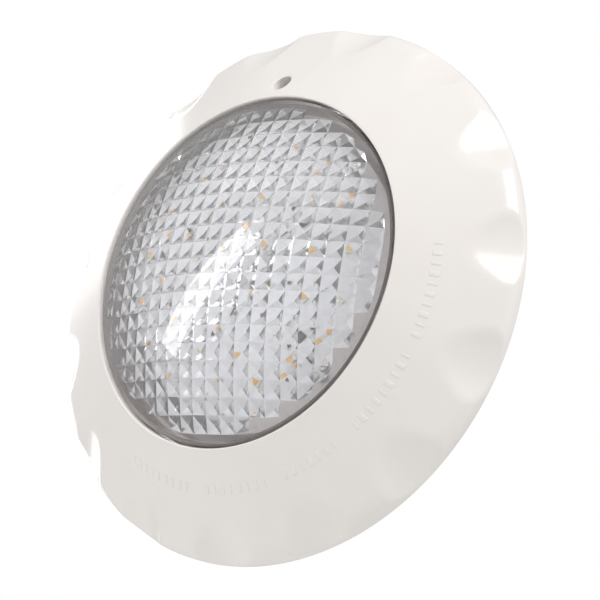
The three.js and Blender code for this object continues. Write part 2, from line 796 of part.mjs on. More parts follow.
function wallPlate() {
  const face = solid(sheet(bracketShape(0), 0, plateFront, 12));
  const dish = solid(sheet(bracketShape(plate.rimWidth), plate.thickness, plateFront + 1, 12));
  const tower = turned(
    [
      [0, 0],
      [plate.towerBaseRadius, 0],
      [plate.towerBaseRadius, plateFront],
      [plate.towerTopRadius, plateFront + 3],
      [plate.towerTopRadius, towerTop],
      [0, towerTop],
    ],
    MEDIUM,
  );
  const gusset = block(plate.gussetWidth, plate.rimWidth, plate.thickness, plateFront + 6, 0, screwHeight);
  const seat = post(insert.outerRadius + clearance.fit, towerTop - insert.length, towerTop + 1, 0, screwHeight);
  const half = plate.slotSpacing / 2;
  const slotAt = (x, z) => slotShape(plate.slotLength, plate.slotRadius, x, z);
  const slots = [-half, half].flatMap((x) =>
    [-half, half].map((z) => solid(sheet(slotAt(x, z), -1, plateFront + 1, 5))),
  );
  const cableHole = post(plate.cableHoleRadius, -1, plateFront + 1, -plate.cableHoleOffset, 0, MEDIUM);
  const tip = post(screw.radius + 2 * clearance.fit, screwTip - 2, towerTop, 0, screwHeight);
  const made = joined([
    cut(face, [dish]),
    solid(tower.translate(0, 0, screwHeight)),
    solid(gusset),
    channelBlock(),
  ]);
  return cut(made, [solid(seat), solid(tip), solid(cableHole), ...slots]);
}

function screwInsert() {
  const made = tube(insert.outerRadius, insert.boreRadius, towerTop - insert.length + 0.1, towerTop, SMALL);
  return solid(made.translate(0, 0, screwHeight));
}

// ---------------------------------------------------------------- retaining screw

function retainingScrew() {
  const length = washerFront - screwTip;
  return panScrew({ ...screw, length }, screw.driveDepth);
}

function screwWasher() {
  const inner = screw.radius + clearance.fit;
  return solid(tube(washer.radius, inner, pocketFloorFront, washerFront, MEDIUM).translate(0, 0, screwHeight));
}

// ---------------------------------------------------------------- the assembly

const paint = (color, roughness, metalness = 0, extra = {}) =>
  new THREE.MeshStandardMaterial({ color, roughness, metalness, ...extra });
const finishes = {
  ringWhite: paint(0xf1eee9, 0.28),
  housingWhite: paint(0xe3e1dc, 0.45),
  bracketWhite: paint(0xdcdad5, 0.5),
  clear: paint(0xf4f4f2, 0.05, 0, { transparent: true, opacity: 0.35 }),
  rubber: paint(0x2a2a2a, 0.8),
  silicone: paint(0xb9b4ae, 0.7),
  steel: paint(0xc4c4c6, 0.3, 1),
  aluminium: paint(0xcfd1d3, 0.45, 1),
  brass: paint(0xb08d4a, 0.35, 1),
  solderMask: paint(0xf5f5f3, 0.4),
  boardGreen: paint(0x1f5a38, 0.5),
  copper: paint(0xa65a2c, 0.4, 1),
  blackPlastic: paint(0x1c1c1e, 0.5),
  redWire: paint(0xb3261e, 0.45),
  nylon: paint(0xe9e6dc, 0.5),
};

const light = new THREE.Group();

/** Adds a solid to the assembly as a named mesh, moved to a place if one is given. */
function add(name, made, finish, place = [0, 0, 0]) {
  const mesh = new THREE.Mesh(geometryOf(made), finishes[finish]);
  mesh.name = name;
  mesh.position.set(...place);
  light.add(mesh);
}

add("wall_plate", wallPlate(), "bracketWhite");
add("screw_insert", screwInsert(), "brass");

add("face_ring", faceRing(), "ringWhite");
add("screw_cup", screwCup(), "ringWhite");
add("lens", lensCup(), "clear");
add("lens_gasket", lensGasket(), "silicone");
add("clamp_ring", clampRing(), "steel");
add("rear_housing", rearHousing(), "housingWhite");

clampAngles().forEach((angle, i) => {
  const [x, z] = around(clampScrewCircle, angle);
  add(`clamp_screw_${i + 1}`, panScrew(clampScrew), "steel", [x, -clampFront, z]);
});
earPlaces().forEach(([x, z], i) => {
  // These screws enter from the back, so their heads face the wall.
  const made = panScrew(ringScrew).rotate([180, 0, 0]);
  add(`ring_fixing_screw_${i + 1}`, made, "steel", [x, -housing.earOut, z]);
});

add("led_board", ledBoardSolid(), "solderMask");
add("heat_plate", boardDisc(heatPlateBack, heatPlateFront, COARSE), "aluminium");
boardScrewPlaces().forEach(([x, z], i) => {
  add(`board_screw_${i + 1}`, panScrew(boardScrew), "steel", [x, -ledBoardFront, z]);
});

add("driver_board", driverBoard(), "boardGreen");
add("driver_coil", driverCoil(), "copper");
const capacitorX = driver.width / 2 - capacitor.length;
[-1, 1].forEach((side, i) => {
  const z = -driver.below + side * (capacitor.radius + 1);
  add(`driver_capacitor_${i + 1}`, capacitorAt(capacitorX - 4, z), "blackPlastic");
});
const rectifierZ = -driver.below - driver.height / 2 + rectifier.height / 2 + 2;
const rectifierBack = driverFront + 0.1;
const rectifierFront = rectifierBack + rectifier.thickness;
const rectifierBlock = block(rectifier.width, rectifier.height, rectifierBack, rectifierFront, 0, rectifierZ);
add("rectifier", solid(rectifierBlock), "blackPlastic");
const terminalX = driver.width / 2 - driver.postInset - terminal.width / 2 - 4;
add(
  "terminal_block",
  solid(
    block(
      terminal.width,
      terminal.height,
      driverFront + 0.1,
      driverFront + 0.1 + terminal.thickness,
      terminalX,
      -driver.below + driver.height / 2 - terminal.height / 2 - 1,
    ),
  ),
  "boardGreen",
);
add("lead_positive", leadAt(1), "redWire");
add("lead_negative", leadAt(-1), "blackPlastic");

add("gland_body", glandBody(), "nylon");
add("gland_o_ring", glandORing(), "rubber");
add("gland_seal", glandSeal(), "rubber");
add("gland_nut", glandNut(), "nylon");

add("ring_screw_washer", screwWasher(), "nylon");
add("ring_screw", retainingScrew(), "steel", [0, -washerFront, screwHeight]);

export default light;
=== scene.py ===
"""Visible model of a wall-hung underwater pool light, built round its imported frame.

The lamp's axis is the frame's -Y, out of the pool wall. Lengths in this file are millimetres, points are
(x, y, z) in the frame, "out" is the distance from the wall, which is -y, and angles round the lamp are
degrees clockwise from the top, seen from the front. Meshes are scaled to metres as they are made.
"""

import logging
import math
from dataclasses import dataclass, field
from enum import Enum
from typing import Any, Dict, Iterable, List, Optional, Sequence, Tuple, Union

import bmesh
import bpy
import numpy as np
from mathutils import Matrix, Vector
from mathutils.geometry import delaunay_2d_cdt


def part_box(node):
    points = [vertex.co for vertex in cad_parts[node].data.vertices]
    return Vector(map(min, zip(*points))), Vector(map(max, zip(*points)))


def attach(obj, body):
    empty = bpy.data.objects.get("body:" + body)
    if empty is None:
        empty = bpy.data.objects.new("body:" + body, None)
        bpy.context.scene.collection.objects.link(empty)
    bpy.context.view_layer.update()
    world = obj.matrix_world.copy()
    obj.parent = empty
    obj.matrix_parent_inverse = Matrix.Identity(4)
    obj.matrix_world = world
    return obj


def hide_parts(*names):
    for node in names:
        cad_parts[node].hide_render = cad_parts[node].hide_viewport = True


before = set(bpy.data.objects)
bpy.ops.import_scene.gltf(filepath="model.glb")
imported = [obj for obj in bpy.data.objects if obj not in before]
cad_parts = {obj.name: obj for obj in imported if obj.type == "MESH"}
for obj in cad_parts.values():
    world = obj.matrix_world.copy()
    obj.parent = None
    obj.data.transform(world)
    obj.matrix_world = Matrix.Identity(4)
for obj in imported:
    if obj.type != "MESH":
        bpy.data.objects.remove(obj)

LOG = logging.getLogger("pool_light")
MM = 0.001
Pair = Tuple[float, float]
Point = Tuple[float, float, float]
Colour = Tuple[float, float, float]


# ---- shader maths


class Socket:
    """An output socket that adds Math nodes when it is used in an expression."""

    def __init__(self, shader: "Shader", output: bpy.types.NodeSocket) -> None:
        """Wraps one output of a node of the shader."""
        self.shader = shader
        self.output = output

    def _math(self, operation: str, *terms: "Value") -> "Socket":
        """The result of a Math node on the given terms."""
        inputs = {index: term for index, term in enumerate(terms)}
        return self.shader.node("ShaderNodeMath", {"operation": operation}, inputs)

    def __add__(self, other: "Value") -> "Socket":
        """self + other."""
        return self._math("ADD", self, other)

    __radd__ = __add__

    def __sub__(self, other: "Value") -> "Socket":
        """self - other."""
        return self._math("SUBTRACT", self, other)

    def __rsub__(self, other: "Value") -> "Socket":
        """other - self."""
        return self._math("SUBTRACT", other, self)

    def __mul__(self, other: "Value") -> "Socket":
        """self * other."""
        return self._math("MULTIPLY", self, other)

    __rmul__ = __mul__

    def __truediv__(self, other: "Value") -> "Socket":
        """self / other."""
        return self._math("DIVIDE", self, other)

    def __rtruediv__(self, other: "Value") -> "Socket":
        """other / self."""
        return self._math("DIVIDE", other, self)

    def __pow__(self, other: "Value") -> "Socket":
        """self to the power of other."""
        return self._math("POWER", self, other)

    def clamped(self) -> "Socket":
        """self limited to 0 to 1."""
        return self._math("MINIMUM", self._math("MAXIMUM", self, 0.0), 1.0)

    def stepped(self, low: float, high: float) -> "Socket":
        """0 below low, 1 above high and a smooth rise between them.

        Args:
            low: Where the rise starts.
            high: Where it ends.

        Returns:
            The stepped value.
        """
        settings = {"interpolation_type": "SMOOTHSTEP"}
        return self.shader.node("ShaderNodeMapRange", settings, {0: self, 1: low, 2: high})


Value = Union[Socket, float]


class Shader:
    """The node tree of one material."""

    def __init__(self, name: str) -> None:
        """Starts a material with an empty tree and its output node."""
        self.material = bpy.data.materials.new(name)
        self.material.use_nodes = True
        self.tree = self.material.node_tree
        self.tree.nodes.clear()
        self.end = self.tree.nodes.new("ShaderNodeOutputMaterial")

    def node(
        self,
        kind: str,
        settings: Optional[Dict[str, Any]] = None,
        inputs: Optional[Dict[Union[int, str], Any]] = None,
        output: Union[int, str] = 0,
    ) -> Socket:
        """Adds any node.

        Args:
            kind: The node's type.
            settings: Its properties; "stops" holds a ramp's (position, grey) pairs.
            inputs: Values or sockets for its inputs, by name or index.
            output: The output to return.

        Returns:
            The wrapped output.
        """
        made = self.tree.nodes.new(kind)
        for key, setting in (settings or {}).items():
            if key == "stops":
                self._set_stops(made.color_ramp, setting)
            else:
                setattr(made, key, setting)
        for key, given in (inputs or {}).items():
            if isinstance(given, Socket):
                self.tree.links.new(given.output, made.inputs[key])
            else:
                made.inputs[key].default_value = given
        return Socket(self, made.outputs[output])

    @staticmethod
    def _set_stops(ramp: bpy.types.ColorRamp, stops: Sequence[Pair]) -> None:
        """Gives a colour ramp its grey stops."""
        while len(ramp.elements) < len(stops):
            ramp.elements.new(1.0)
        for element, (position, grey) in zip(ramp.elements, stops):
            element.position = position
            element.color = (grey, grey, grey, 1.0)

    def place(self, stretch: Point = (1.0, 1.0, 1.0)) -> Socket:
        """The point on the piece in the frame's metres, stretched along x, y and z."""
        coordinates = self.node("ShaderNodeTexCoord", output="Object")
        return self.node("ShaderNodeMapping", inputs={"Vector": coordinates, "Scale": stretch})

    def noise(
        self, size: float, detail: float = 2.0, stretch: Point = (1.0, 1.0, 1.0), rough: float = 0.5
    ) -> Socket:
        """Noise with grains of about the given size.

        Args:
            size: The grains' size in millimetres.
            detail: How many finer layers are added.
            stretch: The stretch along x, y and z; a small number draws the grains out.
            rough: How strong the finer layers are.

        Returns:
            A value of about 0.3 to 0.7.
        """
        inputs = {
            "Vector": self.place(stretch),
            "Scale": 1.0 / (size * MM),
            "Detail": detail,
            "Roughness": rough,
        }
        return self.node("ShaderNodeTexNoise", inputs=inputs)

    def axis_distance(self, centre: Pair = (0.0, 0.0)) -> Socket:
        """The distance in metres from a line along the lamp's axis.

        Args:
            centre: The line's x and z in millimetres.

        Returns:
            The distance.
        """
        x, z = centre
        shifted = self.node(
            "ShaderNodeVectorMath",
            {"operation": "SUBTRACT"},
            {0: self.place(), 1: (x * MM, 0.0, z * MM)},
        )
        flat = self.node("ShaderNodeVectorMath", {"operation": "MULTIPLY"}, {0: shifted, 1: (1, 0, 1)})
        return self.node("ShaderNodeVectorMath", {"operation": "LENGTH"}, {0: flat}, "Value")

    def blend(self, factor: Value, low: Union[Socket, Colour], high: Union[Socket, Colour]) -> Socket:
        """A colour between low and high.

        Args:
            factor: 0 gives low and 1 gives high.
            low: The first colour.
            high: The second colour.

        Returns:
            The blended colour.
        """
        settings = {"data_type": "RGBA", "blend_type": "MIX"}
        colours = [given if isinstance(given, Socket) else (*given, 1.0) for given in (low, high)]
        return self.node("ShaderNodeMix", settings, {0: factor, 6: colours[0], 7: colours[1]}, 2)

    def bump(self, height: Value, depth: float, strength: float = 1.0) -> Socket:
        """A normal for a relief.

        Args:
            height: The relief, from 0 to 1.
            depth: Its depth in millimetres.
            strength: How much of it shows.

        Returns:
            The normal.
        """
        inputs = {"Height": height, "Distance": depth * MM, "Strength": strength}
        return self.node("ShaderNodeBump", inputs=inputs)

    def surface(self, inputs: Dict[Union[int, str], Any]) -> Socket:
        """A Principled shader with the given inputs."""
        return self.node("ShaderNodeBsdfPrincipled", inputs=inputs)

    def finished(self, shader: Socket) -> bpy.types.Material:
        """The material, with the shader on its surface."""
        self.tree.links.new(shader.output, self.end.inputs["Surface"])
        return self.material


# ---- finishes


@dataclass(frozen=True)
class Finish:
    """A finish with the material slot of the record that it stands for."""

    name: str
    slot: str

    def material(self) -> bpy.types.Material:
        """The finish's material, made on its first use."""
        name = "finish_" + self.name
        return bpy.data.materials.get(name) or self.build(Shader(name))

    def build(self, shader: Shader) -> bpy.types.Material:
        """Fills the shader with the finish's nodes; each kind of finish has its own."""
        raise NotImplementedError


@dataclass(frozen=True)
class MouldedPlastic(Finish):
    """Injection-moulded plastic with a faint flow mottle, a mould texture and fine wear."""

    colour: Colour = (0.8, 0.8, 0.8)
    shade: Colour = (0.7, 0.7, 0.7)
    roughness: float = 0.3
    coat: float = 0.0
    texture: float = 0.6
    texture_depth: float = 0.01
    waviness: float = 0.02

    def build(self, shader: Shader) -> bpy.types.Material:
        """Colour follows the flow mottle, roughness the handling marks, and the relief both scales."""
        flow = shader.noise(38.0, 3.0)
        specks = shader.noise(1.3, 2.0)
        marks = shader.noise(7.0, 5.0, (1.0, 1.0, 0.35), 0.65)
        tone = (flow.stepped(0.35, 0.7) * 0.7 + specks.stepped(0.55, 0.75) * 0.3).clamped()
        grain = shader.noise(self.texture, 2.0)
        waves = shader.noise(16.0, 1.0)
        fine = shader.bump(grain, self.texture_depth)
        relief = shader.node(
            "ShaderNodeBump",
            inputs={"Height": waves, "Distance": self.waviness * MM, "Normal": fine},
        )
        inputs = {
            "Base Color": shader.blend(tone, self.colour, self.shade),
            "Roughness": self.roughness + (marks - 0.5) * 0.16,
            "Normal": relief,
            "IOR": 1.5,
            "Coat Weight": self.coat,
            "Coat Roughness": 0.08,
        }
        return shader.finished(shader.surface(inputs))


@dataclass(frozen=True)
class ClearPlastic(Finish):
    """Clear polycarbonate that bends light; lamps shine through it to what is behind."""

    colour: Colour = (0.975, 0.98, 1.0)
    roughness: float = 0.015
    index: float = 1.5
    clearness: float = 0.98
    transmission: float = 0.9

    def build(self, shader: Shader) -> bpy.types.Material:
        """A glass-like surface with faint flow lines, and a plain tint for shadow rays."""
        flow = shader.noise(30.0, 2.0)
        haze = shader.noise(4.0, 3.0)
        inputs = {
            "Base Color": shader.blend(flow, self.colour, tuple(0.97 * part for part in self.colour)),
            "Roughness": self.roughness + haze.stepped(0.5, 0.8) * 0.02,
            "Normal": shader.bump(flow, 0.02),
            "Transmission Weight": self.transmission,
            "IOR": self.index,
        }
        glass = shader.surface(inputs)
        tint = (*(self.clearness * part for part in self.colour), 1.0)
        through = shader.node("ShaderNodeBsdfTransparent", inputs={"Color": tint})
        shadow = shader.node("ShaderNodeLightPath", output="Is Shadow Ray")
        return shader.finished(shader.node("ShaderNodeMixShader", inputs={0: shadow, 1: glass, 2: through}))


class Lay(Enum):
    """The way the tool marks of a metal run."""

    TURNED = "turned"
    DRAWN = "drawn"
    CAST = "cast"


@dataclass(frozen=True)
class WorkedMetal(Finish):
    """Bare metal with tool marks, handling haze and dull spots."""

    colour: Colour = (0.6, 0.6, 0.6)
    stain: Colour = (0.5, 0.49, 0.47)
    roughness: float = 0.28
    lay: Lay = Lay.TURNED
    pitch: float = 0.25

    def build(self, shader: Shader) -> bpy.types.Material:
        """Streaks along the lay set the relief and roughness, and broad stains the colour."""
        if self.lay is Lay.DRAWN:
            streaks = shader.noise(self.pitch, 3.0, (1.0, 1.0, 0.03))
        elif self.lay is Lay.TURNED:
            rings = shader.axis_distance() / (self.pitch * MM)
            inputs = {"W": rings, "Scale": 1.0}
            streaks = shader.node("ShaderNodeTexNoise", {"noise_dimensions": "1D"}, inputs)
        else:
            streaks = shader.noise(self.pitch, 4.0)
        stains = shader.noise(9.0, 4.0)
        inputs = {
            "Base Color": shader.blend(stains.stepped(0.45, 0.75), self.colour, self.stain),
            "Metallic": 1.0,
            "Roughness": self.roughness + (streaks - 0.5) * 0.3 + stains.stepped(0.5, 0.8) * 0.12,
            "Normal": shader.bump(streaks, 0.015),
        }
        return shader.finished(shader.surface(inputs))


@dataclass(frozen=True)
class Elastomer(Finish):
    """Rubber or silicone with a dusty bloom."""

    colour: Colour = (0.03, 0.03, 0.03)
    bloom: Colour = (0.1, 0.1, 0.1)
    roughness: float = 0.7

    def build(self, shader: Shader) -> bpy.types.Material:
        """The bloom lies in broad patches over a fine pebbled skin."""
        patches = shader.noise(6.0, 5.0)
        pebbles = shader.noise(0.35, 2.0)
        inputs = {
            "Base Color": shader.blend(patches.stepped(0.45, 0.7), self.colour, self.bloom),
            "Roughness": self.roughness + (pebbles - 0.5) * 0.3,
            "Normal": shader.bump(pebbles, 0.03),
        }
        return shader.finished(shader.surface(inputs))


@dataclass(frozen=True)
class SolderMask(Finish):
    """A printed circuit board's lacquer over raised copper tracks, with a faint weave."""

    colour: Colour = (0.8, 0.8, 0.78)
    track: Colour = (0.72, 0.72, 0.68)
    pitch: float = 5.0
    roughness: float = 0.35

    def build(self, shader: Shader) -> bpy.types.Material:
        """Tracks run as rounded cells of a distorted grid; the lacquer is thinner and glossier on them."""
        cells = shader.node(
            "ShaderNodeTexVoronoi",
            {"feature": "DISTANCE_TO_EDGE", "distance": "CHEBYCHEV"},
            {"Vector": shader.place(), "Scale": 1.0 / (self.pitch * MM), "Randomness": 0.8},
        )
        tracks = cells.stepped(0.05, 0.09)
        weave = shader.noise(0.8, 2.0)
        inputs = {
            "Base Color": shader.blend(tracks * 0.8 + weave * 0.2, self.track, self.colour),
            "Roughness": self.roughness + (weave - 0.5) * 0.2 + tracks * 0.05,
            "Normal": shader.bump(tracks * 0.8 + weave * 0.2, 0.05),
        }
        return shader.finished(shader.surface(inputs))


@dataclass(frozen=True)
class Phosphor(Finish):
    """The soft amber gel that fills an LED package."""

    colour: Colour = (0.85, 0.42, 0.06)
    pale: Colour = (0.95, 0.62, 0.2)

    def build(self, shader: Shader) -> bpy.types.Material:
        """Fine grains of phosphor show through a glossy gel."""
        grains = shader.noise(0.25, 3.0)
        drift = shader.noise(3.0, 2.0)
        paleness = (grains * 0.5 + drift * 0.5).stepped(0.4, 0.65)
        inputs = {
            "Base Color": shader.blend(paleness, self.colour, self.pale),
            "Roughness": 0.25 + (grains - 0.5) * 0.2,
            "Subsurface Weight": 0.3,
            "Subsurface Radius": (1.0, 0.5, 0.2),
            "Subsurface Scale": 0.8 * MM,
            "Normal": shader.bump(grains, 0.02),
        }
        return shader.finished(shader.surface(inputs))


@dataclass(frozen=True)
class Paint(Finish):
    """The matt paint of the studio floor, with a faint roller texture."""

    colour: Colour = (0.86, 0.86, 0.85)

    def build(self, shader: Shader) -> bpy.types.Material:
        """A nearly even pale tone."""
        roller = shader.noise(60.0, 3.0)
        inputs = {
            "Base Color": shader.blend(roller, self.colour, tuple(0.98 * part for part in self.colour)),
            "Roughness": 0.85 + (roller - 0.5) * 0.1,
        }
        return shader.finished(shader.surface(inputs))


RING_WHITE = MouldedPlastic(
    "ring_white", "ring_white", (0.91, 0.882, 0.862), (0.89, 0.858, 0.836), 0.22, 0.3, 0.8, 0.004, 0.03
)
HOUSING_WHITE = MouldedPlastic(
    "housing_white", "housing_white", (0.86, 0.853, 0.835), (0.82, 0.81, 0.785), 0.42, 0.0, 0.5, 0.02, 0.03
)
BRACKET_WHITE = MouldedPlastic(
    "bracket_white", "bracket_white", (0.76, 0.755, 0.73), (0.71, 0.7, 0.67), 0.5, 0.0, 0.45, 0.03, 0.02
)
NYLON = MouldedPlastic("nylon", "nylon", (0.76, 0.73, 0.65), (0.7, 0.66, 0.57), 0.45, 0.0, 0.4, 0.02, 0.01)
LENS_CLEAR = ClearPlastic("lens_clear", "lens_clear")
# Painted shade: this brown tint on the lens's smooth band and hidden walls stands in for the dark housing
# seen through the clear plastic.
LENS_MARGIN_PAINTED_SHADE = ClearPlastic("lens_margin_painted_shade", "lens_clear", (0.57, 0.5, 0.475), 0.1)
LED_BODY = MouldedPlastic(
    "led_body", "board_white", (0.85, 0.84, 0.8), (0.78, 0.76, 0.7), 0.4, 0.0, 0.3, 0.01, 0.0
)
STAINLESS = WorkedMetal("stainless", "stainless", (0.64, 0.63, 0.61), (0.5, 0.49, 0.46), 0.26, Lay.CAST, 0.3)
PRESSED_STEEL = WorkedMetal(
    "pressed_steel", "stainless", (0.6, 0.6, 0.59), (0.48, 0.47, 0.45), 0.32, Lay.TURNED
)
MILL_ALUMINIUM = WorkedMetal(
    "mill_aluminium", "aluminium", (0.72, 0.73, 0.74), (0.6, 0.6, 0.6), 0.38, Lay.DRAWN
)
TURNED_BRASS = WorkedMetal("turned_brass", "brass", (0.66, 0.47, 0.2), (0.45, 0.3, 0.12), 0.3, Lay.CAST, 0.2)
TINNED = WorkedMetal("tinned", "stainless", (0.7, 0.7, 0.69), (0.55, 0.54, 0.5), 0.35, Lay.CAST, 0.15)
COPPER_WIRE = WorkedMetal("copper_wire", "copper", (0.62, 0.25, 0.1), (0.4, 0.15, 0.06), 0.3, Lay.CAST, 0.1)
SEAL_BLACK = Elastomer("seal_black", "seal_black")
GASKET_GREY = Elastomer("gasket_grey", "gasket_grey", (0.42, 0.4, 0.37), (0.5, 0.48, 0.45), 0.6)
SEALANT_WHITE = Elastomer("sealant_white", "board_white", (0.8, 0.8, 0.785), (0.87, 0.87, 0.86), 0.45)
BOARD_WHITE = SolderMask("board_white", "board_white", (0.92, 0.93, 0.945), (0.86, 0.86, 0.865), 9.0, 0.3)
BOARD_GREEN = SolderMask("board_green", "board_green", (0.02, 0.16, 0.06), (0.05, 0.26, 0.1), 3.0, 0.35)
CHIP_BLACK = MouldedPlastic(
    "chip_black", "black_plastic", (0.02, 0.02, 0.022), (0.035, 0.035, 0.035), 0.45, 0.0, 0.2, 0.02, 0.0
)
FERRITE = MouldedPlastic(
    "ferrite", "black_plastic", (0.05, 0.05, 0.055), (0.08, 0.08, 0.08), 0.6, 0.0, 0.3, 0.04
)
WIRE_RED = MouldedPlastic(
    "wire_red", "red_plastic", (0.5, 0.03, 0.02), (0.4, 0.02, 0.015), 0.35, 0.0, 0.5, 0.01
)
WIRE_BLACK = MouldedPlastic(
    "wire_black", "black_plastic", (0.02, 0.02, 0.02), (0.04, 0.04, 0.04), 0.38, 0.0, 0.5, 0.01
)
TERMINAL_GREEN = MouldedPlastic(
    "terminal_green", "board_green", (0.03, 0.28, 0.1), (0.02, 0.22, 0.08), 0.4, 0.0, 0.4, 0.02
)
AMBER_GEL = Phosphor("amber_gel", "board_white")


# ---- mesh making


@dataclass
class Form:
    """Points and faces of a closed body, in millimetres in the frame."""

    points: List[Point] = field(default_factory=list)
    faces: List[Tuple[int, ...]] = field(default_factory=list)

    def __add__(self, other: "Form") -> "Form":
        """Both bodies in one form."""
        start = len(self.points)
        moved = [tuple(index + start for index in face) for face in other.faces]
        return Form(self.points + other.points, self.faces + moved)

    def moved(self, x: float = 0.0, out: float = 0.0, z: float = 0.0) -> "Form":
        """The form shifted right by x, away from the wall by out and up by z."""
        return Form([(px + x, py - out, pz + z) for px, py, pz in self.points], self.faces)

    def turned(self, angle: float) -> "Form":
        """The form turned clockwise round the lamp's axis by an angle in degrees."""
        return self.mapped(Matrix.Rotation(math.radians(angle), 4, "Y"))

    def across(self) -> "Form":
        """The form made along the lamp's axis, laid from left to right."""
        return self.mapped(Matrix.Rotation(math.pi / 2, 4, "Z"))

    def mapped(self, matrix: Matrix) -> "Form":
        """The form with each point taken through a matrix."""
        return Form([tuple(matrix @ Vector(point)) for point in self.points], self.faces)


def many(forms: Iterable[Form]) -> Form:
    """All the forms in one, for bodies that stand clear of each other."""
    total = Form()
    for form in forms:
        total = total + form
    return total


def ribbon(low: int, high: int, count: int) -> List[Tuple[int, ...]]:
    """The faces between two closed rows of count points, which start at low and at high."""
    return [(low + i, low + (i + 1) % count, high + (i + 1) % count, high + i) for i in range(count)]


def spots(radius: float, angles: Iterable[float]) -> List[Pair]:
    """The x and z of points on a circle, at clockwise angles in degrees from the top."""
    return [spot(radius, angle) for angle in angles]


def spot(radius: float, angle: float) -> Pair:
    """The x and z of a point at a radius and a clockwise angle in degrees from the top."""
    return radius * math.sin(math.radians(angle)), radius * math.cos(math.radians(angle))


def rounded(profile: Sequence[Pair], radius: float, steps: int = 3) -> List[Pair]:
    """A closed profile with its corners rounded.

    Args:
        profile: The corners, as (radius, out).
        radius: The fillets' radius; short edges limit it.
        steps: The number of edges in each fillet.

    Returns:
        The new corners.
    """
    made: List[Pair] = []
    count = len(profile)
    for index, corner in enumerate(profile):
        here = np.array(corner, float)
        before = np.array(profile[index - 1], float) - here
        after = np.array(profile[(index + 1) % count], float) - here
        reach = min(np.linalg.norm(before), np.linalg.norm(after)) * 0.45
        if corner[0] < 1e-6 or reach < 1e-6:
            made.append((float(corner[0]), float(corner[1])))
            continue
        one, two = before / np.linalg.norm(before), after / np.linalg.norm(after)
        bend = math.acos(float(np.clip(one @ two, -1, 1)))
        if bend > math.radians(172):
            made.append((float(corner[0]), float(corner[1])))
            continue
        cut = min(radius / math.tan(bend / 2), reach)
        start, end = here + one * cut, here + two * cut
        for step in range(steps + 1):
            share = step / steps
            point = (1 - share) ** 2 * start + 2 * share * (1 - share) * here + share**2 * end
            made.append((float(point[0]), float(point[1])))
    return made


def lathe(profile: Sequence[Pair], sides: int = 96) -> Form:
    """A closed profile of (radius, out) turned round the lamp's axis.

    Args:
        profile: The corners; a corner at radius 0 becomes one point.
        sides: The number of steps round the axis.

    Returns:
        The turned form.
    """
    form = Form()
    rows: List[List[int]] = []
    angles = [360.0 * step / sides for step in range(sides)]
    for radius, out in profile:
        if radius < 1e-6:
            rows.append([len(form.points)] * sides)
            form.points.append((0.0, -out, 0.0))
            continue
        rows.append(list(range(len(form.points), len(form.points) + sides)))
        form.points += [(x, -out, z) for x, z in (spot(radius, angle) for angle in angles)]
    for index, low in enumerate(rows):
        high = rows[(index + 1) % len(rows)]
        for step in range(sides):
            after = (step + 1) % sides
            corners = (low[step], low[after], high[after], high[step])
            face = tuple(dict.fromkeys(corners))
            if len(face) > 2:
                form.faces.append(face)
    return form


def rod(radius: float, low: float, high: float, sides: int = 32, edge: float = 0.0) -> Form:
    """A round bar along the lamp's axis from one out to another, with rounded ends if edge is set."""
    profile = [(0.0, low), (radius, low), (radius, high), (0.0, high)]
    return lathe(rounded(profile, edge) if edge else profile, sides)


def posts(places: Iterable[Pair], radius: float, low: float, high: float, sides: int) -> Form:
    """A round bar like rod's at each place, given as x and z."""
    return many(rod(radius, low, high, sides).moved(x, 0, z) for x, z in places)


def notched(width: float, low: float, high: float, z: float) -> Form:
    """What cuts a notch with a round foot at a height z, open at its top."""
    foot = rod(width, low, high, 40).moved(z=z)
    return foot + brick(2 * width, 2 * width, low, high, 0, z + width)


def softened_outline(outline: Sequence[Pair], radius: float, steps: int = 3) -> List[Pair]:
    """An outline in x and z with its corners rounded."""
    shift = 1000.0  # keeps every corner clear of radius 0, which rounded() leaves sharp
    moved = rounded([(x + shift, z) for x, z in outline], radius, steps)
    return [(x - shift, z) for x, z in moved]


def inset(outline: Sequence[Pair], amount: float) -> List[Pair]:
    """An outline with each side moved inwards."""
    count = len(outline)
    area = sum(
        outline[i][0] * outline[(i + 1) % count][1] - outline[(i + 1) % count][0] * outline[i][1]
        for i in range(count)
    )
    turn = 1.0 if area > 0 else -1.0
    made = []
    for i, (x, z) in enumerate(outline):
        before = Vector((x - outline[i - 1][0], z - outline[i - 1][1])).normalized()
        after = Vector((outline[(i + 1) % count][0] - x, outline[(i + 1) % count][1] - z)).normalized()
        one, two = Vector((-before.y, before.x)), Vector((-after.y, after.x))
        step = (one + two) * (turn * amount / (1 + one.dot(two)))
        made.append((x + step.x, z + step.y))
    return made


def stacked(rows: Sequence[Tuple[float, float]], outline: Sequence[Pair]) -> List[Tuple[Pair, float]]:
    """The outline's corners at each row of (amount moved inwards, place), each with its place."""
    return [(corner, at) for amount, at in rows for corner in (inset(outline, amount) if amount else outline)]


def rectangle(left: float, right: float, bottom: float, top: float) -> List[Pair]:
    """The corners of a rectangle in x and z."""
    return [(left, bottom), (right, bottom), (right, top), (left, top)]


def slab(outline: Sequence[Pair], low: float, high: float, edge: float = 0.0) -> Form:
    """A plate with an outline in x and z, from one out to another.

    Args:
        outline: The corners, as (x, z).
        low: The back's out.
        high: The front's out.
        edge: The fillet round the back and the front.

    Returns:
        The plate.
    """
    rows = [(0.0, low), (0.0, high)]
    if edge:
        near = 0.3 * edge
        rows = [(edge, low), (near, low + near), (0.0, low + edge)]
        rows += [(0.0, high - edge), (near, high - near), (edge, high)]
    count = len(outline)
    form = Form([(x, -out, z) for (x, z), out in stacked(rows, outline)])
    form.faces = [tuple(range(count)), tuple(range(len(form.points) - 1, len(form.points) - count - 1, -1))]
    for row in range(len(rows) - 1):
        form.faces += ribbon(row * count, (row + 1) * count, count)
    return form


